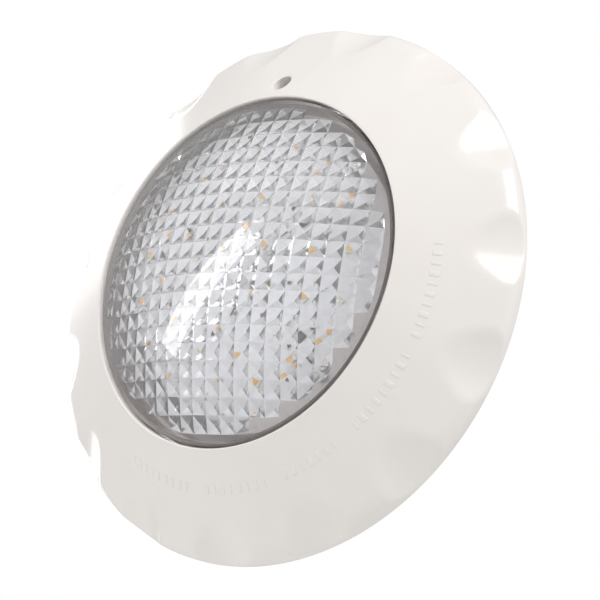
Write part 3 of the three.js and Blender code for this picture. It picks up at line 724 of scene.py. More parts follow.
def brick(
    width: float, height: float, low: float, high: float, x: float = 0.0, z: float = 0.0, edge: float = 0.0
) -> Form:
    """A box centred on x and z, from one out to another, with rounded edges if edge is set."""
    half, rise = width / 2, height / 2
    corners = rectangle(x - half, x + half, z - rise, z + rise)
    return slab(softened_outline(corners, 2 * edge) if edge else corners, low, high, edge)


def sweep(path: Sequence[Point], radius: float, sides: int = 12) -> Form:
    """A round bar along a path of points, with flat ends.

    Args:
        path: The centreline.
        radius: The bar's radius.
        sides: The number of steps round it.

    Returns:
        The swept form.
    """
    points = [Vector(point) for point in path]
    form = Form()
    side = Vector((1.0, 0.0, 0.0))
    for index, here in enumerate(points):
        ahead = points[min(index + 1, len(points) - 1)] - points[max(index - 1, 0)]
        ahead.normalize()
        side = (side - ahead * side.dot(ahead)).normalized()
        up = ahead.cross(side)
        for step in range(sides):
            turn = 2 * math.pi * step / sides
            form.points.append(tuple(here + radius * (math.cos(turn) * side + math.sin(turn) * up)))
    for index in range(len(points) - 1):
        form.faces += ribbon(index * sides, (index + 1) * sides, sides)
    last = (len(points) - 1) * sides
    form.faces.append(tuple(range(sides - 1, -1, -1)))
    form.faces.append(tuple(range(last, last + sides)))
    return form


def mesh_of(name: str, form: Form) -> bpy.types.Object:
    """An object in metres made from a form, with its faces turned outwards.

    Args:
        name: The object's name.
        form: Its points and faces.

    Returns:
        The new object, linked to the scene.
    """
    mesh = bpy.data.meshes.new(name)
    mesh.from_pydata([tuple(MM * part for part in point) for point in form.points], [], form.faces)
    made = bpy.data.objects.new(name, mesh)
    bpy.context.scene.collection.objects.link(made)
    work = bmesh.new()
    work.from_mesh(mesh)
    bmesh.ops.remove_doubles(work, verts=work.verts, dist=1e-7)
    bmesh.ops.recalc_face_normals(work, faces=work.faces)
    work.to_mesh(mesh)
    work.free()
    return made


def settle(made: bpy.types.Object) -> None:
    """Turns an object's modifiers into its mesh."""
    bpy.context.view_layer.update()
    final = bpy.data.meshes.new_from_object(made.evaluated_get(bpy.context.evaluated_depsgraph_get()))
    made.modifiers.clear()
    made.data = final


class Combine(Enum):
    """How one body is put together with another."""

    JOIN = "UNION"
    CUT = "DIFFERENCE"
    KEEP = "INTERSECT"


def combined(made: bpy.types.Object, how: Combine, form: Form) -> bpy.types.Object:
    """Joins a form to an object's body, cuts it away or keeps what both share.

    Args:
        made: The object to change.
        how: The way they are combined.
        form: The other body, or several that may overlap.

    Returns:
        The changed object.
    """
    tool = mesh_of("tool", form)
    step = made.modifiers.new("combine", "BOOLEAN")
    step.operation, step.object, step.solver, step.use_self = how.value, tool, "EXACT", True
    settle(made)
    bpy.data.objects.remove(tool)
    work = bmesh.new()
    work.from_mesh(made.data)
    bmesh.ops.remove_doubles(work, verts=work.verts, dist=2e-6)
    bmesh.ops.dissolve_degenerate(work, edges=work.edges, dist=1e-6)
    work.to_mesh(made.data)
    work.free()
    return made


def softened(made: bpy.types.Object, width: float, steps: int = 2, angle: float = 32.0) -> bpy.types.Object:
    """Rounds an object's edges.

    Args:
        made: The object to change.
        width: The fillets' width in millimetres.
        steps: The number of edges in each fillet.
        angle: The least bend in degrees of an edge that is rounded.

    Returns:
        The changed object.
    """
    step = made.modifiers.new("edges", "BEVEL")
    step.limit_method, step.angle_limit = "ANGLE", math.radians(angle)
    step.width, step.segments, step.use_clamp_overlap = width * MM, steps, True
    step.miter_outer = "MITER_ARC"
    settle(made)
    return made


def dressed(
    made: bpy.types.Object,
    finish: Finish,
    body: str,
    nodes: Sequence[str] = (),
    crease: float = 32.0,
) -> bpy.types.Object:
    """Gives a piece its finish and its body, and hides the CAD nodes that it stands for.

    Args:
        made: The piece.
        finish: Its finish.
        body: The body it moves with.
        nodes: The CAD nodes it replaces.
        crease: The bend in degrees from which an edge shows as sharp.

    Returns:
        The piece.
    """
    made.data.materials.clear()
    made.data.materials.append(finish.material())
    for face in made.data.polygons:
        face.material_index = 0
    made.data.shade_smooth()
    made.data.set_sharp_from_angle(angle=math.radians(crease))
    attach(made, body)
    if nodes:
        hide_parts(*nodes)
    LOG.info("%s: %d faces, %s, on %s", made.name, len(made.data.polygons), finish.name, body)
    return made


def extent(node: str) -> Tuple[Point, Point]:
    """The lowest and highest corners of a CAD node, in millimetres."""
    low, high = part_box(node)
    return tuple(part / MM for part in low), tuple(part / MM for part in high)


def numbered(name: str, count: int) -> List[str]:
    """The names of CAD nodes that end in 1 to count."""
    return [f"{name}_{index}" for index in range(1, count + 1)]


def outs(node: str) -> Pair:
    """The nearest and farthest distance of a CAD node from the wall, in millimetres."""
    low, high = extent(node)
    return -high[1], -low[1]


def middle(node: str) -> Pair:
    """The x and z of the middle of a CAD node, in millimetres."""
    low, high = extent(node)
    return (low[0] + high[0]) / 2, (low[2] + high[2]) / 2


def smooth_least(first: np.ndarray, second: np.ndarray, softness: float) -> np.ndarray:
    """The lesser of two values, with a rounded change from one to the other."""
    near = np.maximum(softness - np.abs(first - second), 0.0) / softness
    return np.minimum(first, second) - near * near * softness / 4


# ---- fasteners


@dataclass
class Screw:
    """A pan-head machine screw whose head sits at out 0 and whose tip is at -length."""

    radius: float
    head_radius: float
    head_height: float
    length: float
    pitch: float = 0.6
    sides: int = 20

    def shank(self) -> Form:
        """The threaded shank, one helical groove deep."""
        steps = int(self.length / self.pitch * 4)
        groove = 0.3 * self.pitch
        form = Form()
        for row in range(steps + 1):
            out = -self.length + (self.length + 0.2) * row / steps
            taper = min(1.0, 0.7 + (out + self.length) * 0.4)
            for step in range(self.sides):
                phase = (out / self.pitch - step / self.sides) % 1.0
                depth = groove * abs(2 * phase - 1) if out < -0.3 else 0.0
                x, z = spot((self.radius - depth) * taper, 360.0 * step / self.sides)
                form.points.append((x, -out, z))
        for row in range(steps):
            form.faces += ribbon(row * self.sides, (row + 1) * self.sides, self.sides)
        last = steps * self.sides
        form.faces.append(tuple(range(self.sides)))
        form.faces.append(tuple(range(last + self.sides - 1, last - 1, -1)))
        return form

    def head(self) -> Form:
        """The domed head without its recess."""
        top, reach = self.head_height, self.head_radius
        profile = [(0.0, 0.0), (reach, 0.0), (reach, 0.62 * top), (0.78 * reach, 0.93 * top)]
        return lathe(rounded([*profile, (0.35 * reach, top), (0.0, top)], 0.3 * top), 32)

    def recess(self) -> Form:
        """The cross that is cut out of the head."""
        deep, high = 0.4 * self.head_height, self.head_height + 1
        arm, blade = 1.15 * self.head_radius, 0.26 * self.head_radius
        return brick(arm, blade, deep, high) + brick(blade, arm, deep, high)

    def make(self, name: str) -> bpy.types.Object:
        """The whole screw as an object.

        Args:
            name: The object's name.

        Returns:
            The object, at the lamp's axis.
        """
        made = combined(mesh_of(name, self.head()), Combine.CUT, self.recess())
        return combined(made, Combine.JOIN, self.shank())

    def stand(self, nodes: Sequence[str], finish: Finish, body: str, flipped: bool = False) -> None:
        """Puts a screw in the place of each CAD node.

        Args:
            nodes: The CAD nodes the screws stand for.
            finish: Their finish.
            body: The body they move with.
            flipped: True if their heads face the wall.
        """
        pattern = self.make("screw_pattern")
        for index, node in enumerate(nodes):
            x, z = middle(node)
            near, far = outs(node)
            seat = near + self.head_height if flipped else far - self.head_height
            turn = Matrix.Rotation(math.pi, 4, "Z") if flipped else Matrix.Identity(4)
            turn = turn @ Matrix.Rotation(math.radians(37.0 * index), 4, "Y")
            made = bpy.data.objects.new("fine_" + node, pattern.data.copy())
            bpy.context.scene.collection.objects.link(made)
            made.data.transform(Matrix.Translation((x * MM, -seat * MM, z * MM)) @ turn)
            dressed(made, finish, body, [node])
        bpy.data.objects.remove(pattern)


# ---- face ring


@dataclass
class FaceRing:
    """The white ring round the lens: a cone with scoops round its rim, a screw pocket and four bosses."""

    opening: float = 93.5
    lip_width: float = 3.0
    lip_depth: float = 5.8
    lip_drop: float = 0.4
    cone_drop: float = 26.8
    shoulder_inset: float = 4.0
    wall: float = 3.0
    scoops: int = 15
    scoop_radius: float = 49.0
    scoop_length: float = 21.0
    scoop_slope: float = 42.0
    facet_slope: float = 31.2
    facet_start: float = 2.5
    softness: float = 1.1
    pocket_radius: float = 5.0
    pocket_wall: float = 1.2
    pocket_floor: float = 2.5
    rim_round: float = 1.3
    boss_radius: float = 4.2
    boss_low: float = 17.3
    boss_angles: Tuple[float, ...] = (48.0, 144.0, 216.0, 312.0)
    boss_circle: float = 112.0
    pilot: float = 1.9
    pilot_depth: float = 9.0
    screw_hole: float = 2.7
    tick_inner: float = 110.3
    tick_outer: float = 114.3
    tick_step: float = 2.6
    tick_height: float = 0.28
    body: str = "lamp_unit"

    def __post_init__(self) -> None:
        """Reads the ring's size and the pocket's place from the frame."""
        low, high = extent("face_ring")
        self.radius = (high[0] - low[0]) / 2
        self.back, front = outs("face_ring")
        self.lip = front + self.lip_drop
        self.pocket_height = middle("ring_screw")[1]
        self.pocket_back = outs("screw_cup")[0]

    @property
    def slope(self) -> float:
        """The fall of the cone per millimetre of radius."""
        return self.cone_drop / (self.radius - self.shoulder_inset - self.opening)

    def cone(self, radius: float) -> float:
        """The cone's out at a radius."""
        return self.lip - self.slope * (radius - self.opening)

    def outer_profile(self) -> List[Pair]:
        """The outer side from the lip's inner edge to the skirt's back edge."""
        start, turn = self.opening + 1.5, self.radius - 7.0
        lip = [(self.opening, self.lip - self.lip_depth), (self.opening, self.lip - 2.6)]
        corner = (self.opening, self.cone(self.opening))
        for share in np.linspace(0, 1, 7):
            one = (1 - share) ** 2 * np.array((self.opening, self.lip - 1.7))
            two = 2 * share * (1 - share) * np.array(corner) + share**2 * np.array((start, self.cone(start)))
            lip.append(tuple(one + two))
        cone = [(r, self.cone(r)) for r in np.linspace(start, turn, 64)[1:-1]]
        shoulder, skirt = (self.radius, self.cone(self.radius) - 0.4), (self.radius, self.back + 4.2)
        curve = []
        for share in np.linspace(0, 1, 12):
            one = (1 - share) ** 2 * np.array((turn, self.cone(turn))) + share**2 * np.array(skirt)
            curve.append(tuple(one + 2 * share * (1 - share) * np.array(shoulder)))
        edge = [(self.radius, self.back + 2.5), (self.radius, self.back + 1.0)]
        edge += [(self.radius - 0.25, self.back + 0.25), (self.radius - 1.0, self.back)]
        return lip + cone + curve + edge

    def inner_profile(self) -> List[Pair]:
        """The hidden side from the skirt's back edge to the lip's lower edge."""
        under = self.wall * math.hypot(1, self.slope)
        inner, lip = self.radius - self.wall, self.opening + self.lip_width
        low = [(inner + 0.6, self.back)] + [(inner, self.back + rise) for rise in (0.6, 3.0, 5.0)]
        turn = self.radius - 7.5
        cone = [(r, self.cone(r) - under) for r in np.linspace(turn, lip + 1, 18)]
        return low + cone + [(lip, self.cone(lip + 1) - under - 0.4), (lip, self.lip - self.lip_depth)]

    def scooped(self, points: np.ndarray, depth: float) -> np.ndarray:
        """Pushes points down onto the scoops' floors and the facet round the screw.

        Args:
            points: Rows of x, out, z.
            depth: How far below the outer side the floors lie.

        Returns:
            The moved points.
        """
        slope, tip = math.radians(self.scoop_slope), self.radius - self.scoop_length
        size = self.scoop_radius + depth
        for index in range(self.scoops):
            angle = math.radians((index + 0.5) * 360 / self.scoops)
            away, across = (math.sin(angle), math.cos(angle)), (math.cos(angle), -math.sin(angle))
            reach = points[:, 0] * away[0] + points[:, 2] * away[1]
            side = points[:, 0] * across[0] + points[:, 2] * across[1]
            near = (reach > 0) & (np.abs(side) < 0.9 * size)
            level = (reach - tip) * math.sin(slope) + (points[:, 1] - self.cone(tip)) * math.cos(slope)
            floor = self.scoop_radius - np.sqrt(np.maximum(size**2 - side**2, 0.0))
            drop = np.where(near, smooth_least(level, floor, self.softness) - level, 0.0)
            points[:, 0] += drop * math.sin(slope) * away[0]
            points[:, 2] += drop * math.sin(slope) * away[1]
            points[:, 1] += drop * math.cos(slope)
        tilt, start = math.radians(self.facet_slope), self.opening + self.facet_start
        level = (points[:, 2] - start) * math.sin(tilt) + (points[:, 1] - self.cone(start)) * math.cos(tilt)
        cut = smooth_least(level + depth, np.zeros_like(level), 0.25) - level - depth
        cut = np.where(points[:, 2] > start - 2, cut, 0.0)
        points[:, 1] += cut * math.cos(tilt)
        points[:, 2] += cut * math.sin(tilt)
        return points

    def angles(self) -> List[float]:
        """The ring's steps in degrees, close together round the screw."""
        fine = [round(step * 0.2 - 4.4, 3) for step in range(45)]
        return fine + list(np.linspace(5.0, 355.0, 560))

    def shell(self) -> Form:
        """The ring's wall as one closed body."""
        outer, inner = self.outer_profile(), self.inner_profile()
        angles = np.radians(self.angles())
        rows = []
        for profile, depth in ((outer, 0.0), (inner, self.wall)):
            for radius, out in profile:
                ones = np.ones_like(angles)
                points = np.column_stack((radius * np.sin(angles), out * ones, radius * np.cos(angles)))
                rows.append(self.scooped(points, depth) if radius > self.opening + 1.6 else points)
        count = len(angles)
        grid = np.stack(rows)
        outer_rows = grid[: len(outer)]
        aside = np.hypot(outer_rows[:, :, 0], outer_rows[:, :, 2] - self.pocket_height) - self.pocket_radius
        dip = np.clip(1 - np.maximum(aside, 0) / self.rim_round, 0, 1) ** 2 * 0.55 * self.rim_round
        grid[: len(outer), :, 1] -= np.where(outer_rows[:, :, 1] > self.back + 12, dip, 0.0)
        flat = grid.reshape(-1, 3)
        form = Form([(x, -out, z) for x, out, z in flat.tolist()])
        total = len(rows)
        for row in range(total):
            form.faces += ribbon(row * count, ((row + 1) % total) * count, count)
        return form

    def stub(self, radius: float, low: float, x: float, z: float) -> Form:
        """A round post that ends inside the ring's wall.

        Args:
            radius: The post's radius.
            low: Its lower end's out.
            x: Its place to the right.
            z: Its place upwards.

        Returns:
            The post.
        """
        form = rod(radius, low, low + 1, 40).moved(x, 0, z)
        shifted = []
        for px, py, pz in form.points:
            reach = math.hypot(px, pz)
            shifted.append((px, py, pz) if -py < low + 0.5 else (px, -(self.cone(reach) - 1.6), pz))
        return Form(shifted, form.faces)

    def build(self) -> bpy.types.Object:
        """The ring, with its pocket and bosses joined on and its holes cut."""
        made = mesh_of("face_ring_moulding", self.shell())
        high = self.pocket_height
        places = spots(self.boss_circle, self.boss_angles)
        bosses = many(self.stub(self.boss_radius, self.boss_low, x, z) for x, z in places)
        pocket = self.stub(self.pocket_radius + self.pocket_wall, self.pocket_back, 0, high)
        combined(made, Combine.JOIN, bosses + pocket)
        floor = self.pocket_back + self.pocket_floor
        bore = rod(self.pocket_radius, floor, self.lip, 60).moved(z=high)
        combined(made, Combine.CUT, bore)
        pilots = posts(places, self.pilot, self.boss_low - 1, self.boss_low + self.pilot_depth, 20)
        hole = rod(self.screw_hole, self.pocket_back - 1, floor + 0.5, 28).moved(z=high)
        combined(made, Combine.CUT, pilots + hole)
        return dressed(made, RING_WHITE, self.body, ["face_ring", "screw_cup"], 40)

    def marks(self) -> bpy.types.Object:
        """The arc of plain raised ticks on the lower right of the cone."""
        runs = ((84.0, 108.0), (113.0, 136.0), (141.0, 158.0), (163.0, 183.0), (188.0, 211.0))
        ticks = []
        for start, end in runs:
            for index, angle in enumerate(np.arange(start, end, self.tick_step)):
                half, low, high = (0.55, 1.25, 0.8, 1.5)[index % 4], self.tick_inner, self.tick_outer
                corners = rectangle(-half, half, low, high)
                points = [(x, -(self.cone(z) - 0.5), z) for x, z in corners]
                points += [(0.8 * x, -(self.cone(z) + self.tick_height), z) for x, z in corners]
                form = Form(points, [(0, 1, 2, 3), (7, 6, 5, 4), *ribbon(0, 4, 4)])
                ticks.append(form.turned(float(angle)))
        return dressed(softened(mesh_of("face_ring_ticks", many(ticks)), 0.15, 2), RING_WHITE, self.body)


# ---- lens


@dataclass
class PrismLens:
    """The clear dome, smooth outside, with a square field of pyramids inside."""

    opening: float = 93.5
    gap: float = 1.1
    wall: float = 3.0
    base_inset: float = 3.5
    base_drop: float = 19.5
    flange: float = 3.0
    pitch: float = 8.6
    prism: float = 2.3
    field_radius: float = 87.2
    least_reach: float = 0.5
    sides: int = 180
    body: str = "lamp_unit"

    def __post_init__(self) -> None:
        """Reads the lens's size from the frame."""
        low, high = extent("lens")
        self.flange_radius = (high[0] - low[0]) / 2
        self.back, self.front = outs("lens")
        self.outer = self.opening - self.gap
        self.inner = self.outer - self.wall
        base = self.opening - self.base_inset
        self.sphere = (base**2 + self.base_drop**2) / (2 * self.base_drop)
        self.centre = self.front - self.sphere

    def dome(self, radius: float, depth: float) -> float:
        """The out of the dome, or of the dome a depth below it, at a radius from the axis."""
        return self.centre + math.sqrt((self.sphere - depth) ** 2 - radius**2)

    def cells(self) -> List[Tuple[int, int]]:
        """The squares of the grid that hold a pyramid."""
        reach = int(self.field_radius / self.pitch) + 2
        squares = [(i, j) for i in range(-reach, reach) for j in range(-reach, reach)]
        limit = self.field_radius - self.least_reach
        return [(i, j) for i, j in squares if math.hypot(i + 0.5, j + 0.5) * self.pitch < limit]

    def corner(self, i: int, j: int) -> Pair:
        """The x and z of a corner of the grid, pulled in to the edge of the field."""
        x, z = i * self.pitch, j * self.pitch
        pull = min(1.0, self.field_radius / max(math.hypot(x, z), 1.0))
        return x * pull, z * pull

    def prism_side(self) -> Form:
        """The inner side: the pyramids and the smooth band round them."""
        cells = self.cells()
        held = set(cells)
        form = Form()
        known: Dict[Tuple[int, int], int] = {}
        for i, j in cells:
            ring = []
            for place in ((i, j), (i + 1, j), (i + 1, j + 1), (i, j + 1)):
                if place not in known:
                    x, z = self.corner(*place)
                    known[place] = len(form.points)
                    form.points.append((x, -self.dome(math.hypot(x, z), self.wall), z))
                ring.append(known[place])
            x = sum(form.points[index][0] for index in ring) / 4
            z = sum(form.points[index][2] for index in ring) / 4
            tip = len(form.points)
            form.points.append((x, -(self.dome(math.hypot(x, z), self.wall) - self.prism), z))
            form.faces += [(ring[k], ring[(k + 1) % 4], tip) for k in range(4)]
        edges = []
        for i, j in cells:
            sides = (((i, j), (i + 1, j), (i, j - 1)), ((i + 1, j), (i + 1, j + 1), (i + 1, j)))
            sides += (((i + 1, j + 1), (i, j + 1), (i, j + 1)), ((i, j + 1), (i, j), (i - 1, j)))
            edges += [(a, b) for a, b, beyond in sides if beyond not in held]
        rim = sorted({point for edge in edges for point in edge})
        flat = [Vector(self.corner(i, j)) for i, j in rim]
        order = {point: index for index, point in enumerate(rim)}
        lines = [(order[a], order[b]) for a, b in edges]
        outline = [(flat[a], flat[b]) for a, b in lines]
        start = len(flat)
        flat += [Vector(spot(self.inner, 360.0 * step / self.sides)) for step in range(self.sides)]
        lines += [(start + k, start + (k + 1) % self.sides) for k in range(self.sides)]
        points, _, faces, *_ = delaunay_2d_cdt(flat, lines, [], 0, 1e-5)
        start = len(form.points)
        form.points += [(p.x, -self.dome(min(p.length, self.inner), self.wall), p.y) for p in points]
        for face in faces:
            centre = sum((points[index] for index in face), Vector((0.0, 0.0))) / len(face)
            if centre.length < self.inner and not self.within(centre, outline):
                form.faces.append(tuple(start + index for index in face))
        return form

    @staticmethod
    def within(point: Vector, outline: Sequence[Tuple[Vector, Vector]]) -> bool:
        """True if a point lies inside a closed outline given as its edges."""
        crossed = 0
        for a, b in outline:
            if (a.y > point.y) != (b.y > point.y):
                crossed += point.x < a.x + (b.x - a.x) * (point.y - a.y) / (b.y - a.y)
        return crossed % 2 == 1

    def smooth_side(self) -> Form:
        """The rest of the lens: its inner wall, flange, outer wall and smooth dome."""
        edge = self.opening - self.base_inset + 1.0
        wall = [(self.inner, self.dome(self.inner, self.wall)), (self.inner, self.back)]
        wide, front = self.flange_radius, self.back + self.flange
        flange = [(wide - 0.3, self.back), (wide, self.back + 0.3), (wide, front - 0.3)]
        flange += [(wide - 0.3, front), (self.outer + 0.5, front), (self.outer, front + 0.5)]
        side_top = self.dome(edge, 0.0)
        shoulder = [(self.outer, side_top - 2.2), (self.outer - 0.15, side_top - 1.2)]
        shoulder += [(self.outer - 0.6, side_top - 0.45)]
        cap = [(r, self.dome(r, 0.0)) for r in np.linspace(edge, 0.0, 48)]
        form = lathe(wall + flange + shoulder + cap, self.sides)
        first_ring, top = set(range(self.sides)), len(form.points) - 1
        keep = [face for face in form.faces if not (top in face and first_ring & set(face))]
        return Form(form.points, keep)

    def build(self) -> bpy.types.Object:
        """The lens as one closed body, with a brown painted-shade tint where it has no pyramids and on its
        hidden walls.
        """
        inner = self.prism_side()
        made = mesh_of("lens_prismatic", inner + self.smooth_side())
        dressed(made, LENS_CLEAR, self.body, ["lens"], 12)
        # The smooth band and the hidden walls get the brown painted-shade tint.
        made.data.materials.append(LENS_MARGIN_PAINTED_SHADE.material())
        band = range(4 * len(self.cells()), len(inner.faces))
        for face in made.data.polygons:
            x, y, z = face.center / MM
            walls = math.hypot(x, z) > self.inner - 0.5 and -y < self.dome(self.inner, self.wall)
            face.material_index = int(face.index in band or walls)
        return made


# ---- LED board


@dataclass
class LedBoard:
    """The white board with its LED packages, chips and small parts."""

    package: float = 5.0
    package_height: float = 1.4
    circles: Tuple[Tuple[float, int, float], ...] = ((20.0, 5, 36.0), (42.0, 11, 8.0), (63.0, 16, 11.25))
    hole: float = 5.0
    screw_hole: float = 1.7
    sealant_reach: float = 2.6
    sealant_height: float = 4.4
    sealant_rise: float = 3.4
    body: str = "lamp_unit"

    def __post_init__(self) -> None:
        """Reads the board's place from the frame."""
        low, high = extent("led_board")
        self.radius = (high[0] - low[0]) / 2
        self.back, top = outs("led_board")
        self.face = top - self.package_height
        self.screws = [middle(node) for node in numbered("board_screw", 4)]

    def places(self) -> List[Tuple[float, float]]:
        """The radius and angle of each LED."""
        found = []
        for radius, count, phase in self.circles:
            found += [(radius, phase + 360.0 * step / count) for step in range(count)]
        return found

    def board(self) -> bpy.types.Object:
        """The bare board with its screw holes and its wire hole."""
        made = mesh_of("led_board_panel", rod(self.radius, self.back, self.face, 160))
        holes = posts(self.screws, self.screw_hole, self.back - 1, self.face + 1, 20)
        combined(made, Combine.CUT, holes + rod(self.hole, self.back - 1, self.face + 1, 40))
        return dressed(softened(made, 0.15, 2), BOARD_WHITE, self.body, ["led_board"])

    def frame_form(self) -> Form:
        """One LED's plastic body: a square with a round cup."""
        half, count = self.package / 2 - 0.15, 32
        square, circle, floor = [], [], []
        for step in range(count):
            turn = 2 * math.pi * step / count
            x, z = math.cos(turn), math.sin(turn)
            grow = half / max(abs(x), abs(z))
            square.append((x * grow, z * grow))
            circle.append((x * 0.84 * half, z * 0.84 * half))
            floor.append((x * 0.66 * half, z * 0.66 * half))
        top = self.face + self.package_height - 0.1
        rings = [(square, self.face + 0.02), (square, top), (circle, top), (floor, top - 0.65)]
        form = Form()
        for outline, out in rings:
            form.points += [(x, -out, z) for x, z in outline]
        for row in range(len(rings) - 1):
            form.faces += ribbon(row * count, (row + 1) * count, count)
        form.faces.append(tuple(range(count - 1, -1, -1)))
        form.faces.append(tuple(range(3 * count, 4 * count)))
        return form

    def gel_form(self) -> Form:
        """One LED's gel, a low dome in the cup."""
        reach, top = 0.79 * (self.package / 2 - 0.15), self.face + self.package_height - 0.2
        profile = [(0.0, top - 0.3), (reach, top - 0.3), (reach, top - 0.05), (0.7 * reach, top + 0.1)]
        return lathe([*profile, (0.0, top + 0.18)], 24)

    def legs_form(self) -> Form:
        """One LED's two tinned ends with their solder."""
        half = self.package / 2
        ends = []
        for side in (-1, 1):
            for z in (-1.2, 1.2):
                x = side * (half + 0.1)
                ends.append(brick(1.0, 1.3, self.face, self.face + 0.35, x, z))
        return many(ends)

    def leds(self) -> None:
        """All the LEDs, as three pieces: their bodies, their gel and their ends."""
        parts = (
            ("led_bodies", self.frame_form(), LED_BODY, 0.1),
            ("led_gel", self.gel_form(), AMBER_GEL, 0.0),
            ("led_ends", self.legs_form(), TINNED, 0.12),
        )
        for name, form, finish, edge in parts:
            copies = []
            for index, (radius, angle) in enumerate(self.places()):
                x, z = spot(radius, angle)
                copies.append(form.turned(angle + 11.0 * (index % 3)).moved(x, 0.0, z))
            made = mesh_of(name, many(copies))
            dressed(softened(made, edge, 2) if edge else made, finish, self.body)

    def small_parts(self) -> None:
        """Driver chips with bent legs, and chip resistors between the LEDs."""
        chips, legs, bodies, ends = [], [], [], []
        for radius, angle in ((31.0, 52.0), (31.0, 196.0), (52.5, 284.0), (52.5, 128.0)):
            x, z = spot(radius, angle)
            chips.append(brick(5.0, 4.0, self.face + 0.15, self.face + 1.6).turned(angle).moved(x, 0, z))
            pins = [
                brick(0.5, 1.3, self.face, self.face + 0.35, column * 1.27, row * 2.5)
                for column in (-1.5, -0.5, 0.5, 1.5)
                for row in (-1, 1)
            ]
            legs.append(many(pins).turned(angle).moved(x, 0, z))
        for index in range(22):
            radius, angle = (31.0, 52.5, 71.5)[index % 3], 17.0 + index * 49.0
            if any(abs((angle - other + 180) % 360 - 180) < 11 for other in (52, 196, 284, 128)):
                continue
            x, z = spot(radius, angle)
            bodies.append(brick(1.9, 1.5, self.face, self.face + 0.62).turned(angle + 90).moved(x, 0, z))
            caps = many(brick(0.55, 1.6, self.face, self.face + 0.68, side * 1.2) for side in (-1, 1))
            ends.append(caps.turned(angle + 90).moved(x, 0, z))
        dressed(softened(mesh_of("board_chips", many(chips)), 0.2, 2), CHIP_BLACK, self.body)
        dressed(softened(mesh_of("board_resistors", many(bodies)), 0.06, 2), CHIP_BLACK, self.body)
        dressed(softened(mesh_of("board_chip_legs", many(legs)), 0.08, 1), TINNED, self.body)
        dressed(softened(mesh_of("board_resistor_ends", many(ends)), 0.1, 2), TINNED, self.body)

    def sealant(self) -> None:
        """The blob of white silicone over the wire hole and the ends of the leads."""
        radius, base = self.hole + self.sealant_reach, self.face + 0.02
        profile = [(0.0, base), (radius, base), (0.97 * radius, base + 1.2), (0.72 * radius, base + 3.1)]
        blob = lathe(rounded([*profile, (0.0, base + self.sealant_height)], 1.0), 64)
        blob = blob.mapped(Matrix.Diagonal((1.0, 1.0, 1.3, 1.0))).moved(z=self.sealant_rise)
        dressed(mesh_of("wire_sealant", blob), SEALANT_WHITE, self.body)

    def build(self) -> None:
        """The board and all that stands on it."""
        self.board()
        self.sealant()
        self.leds()
        self.small_parts()


# ---- rear housing


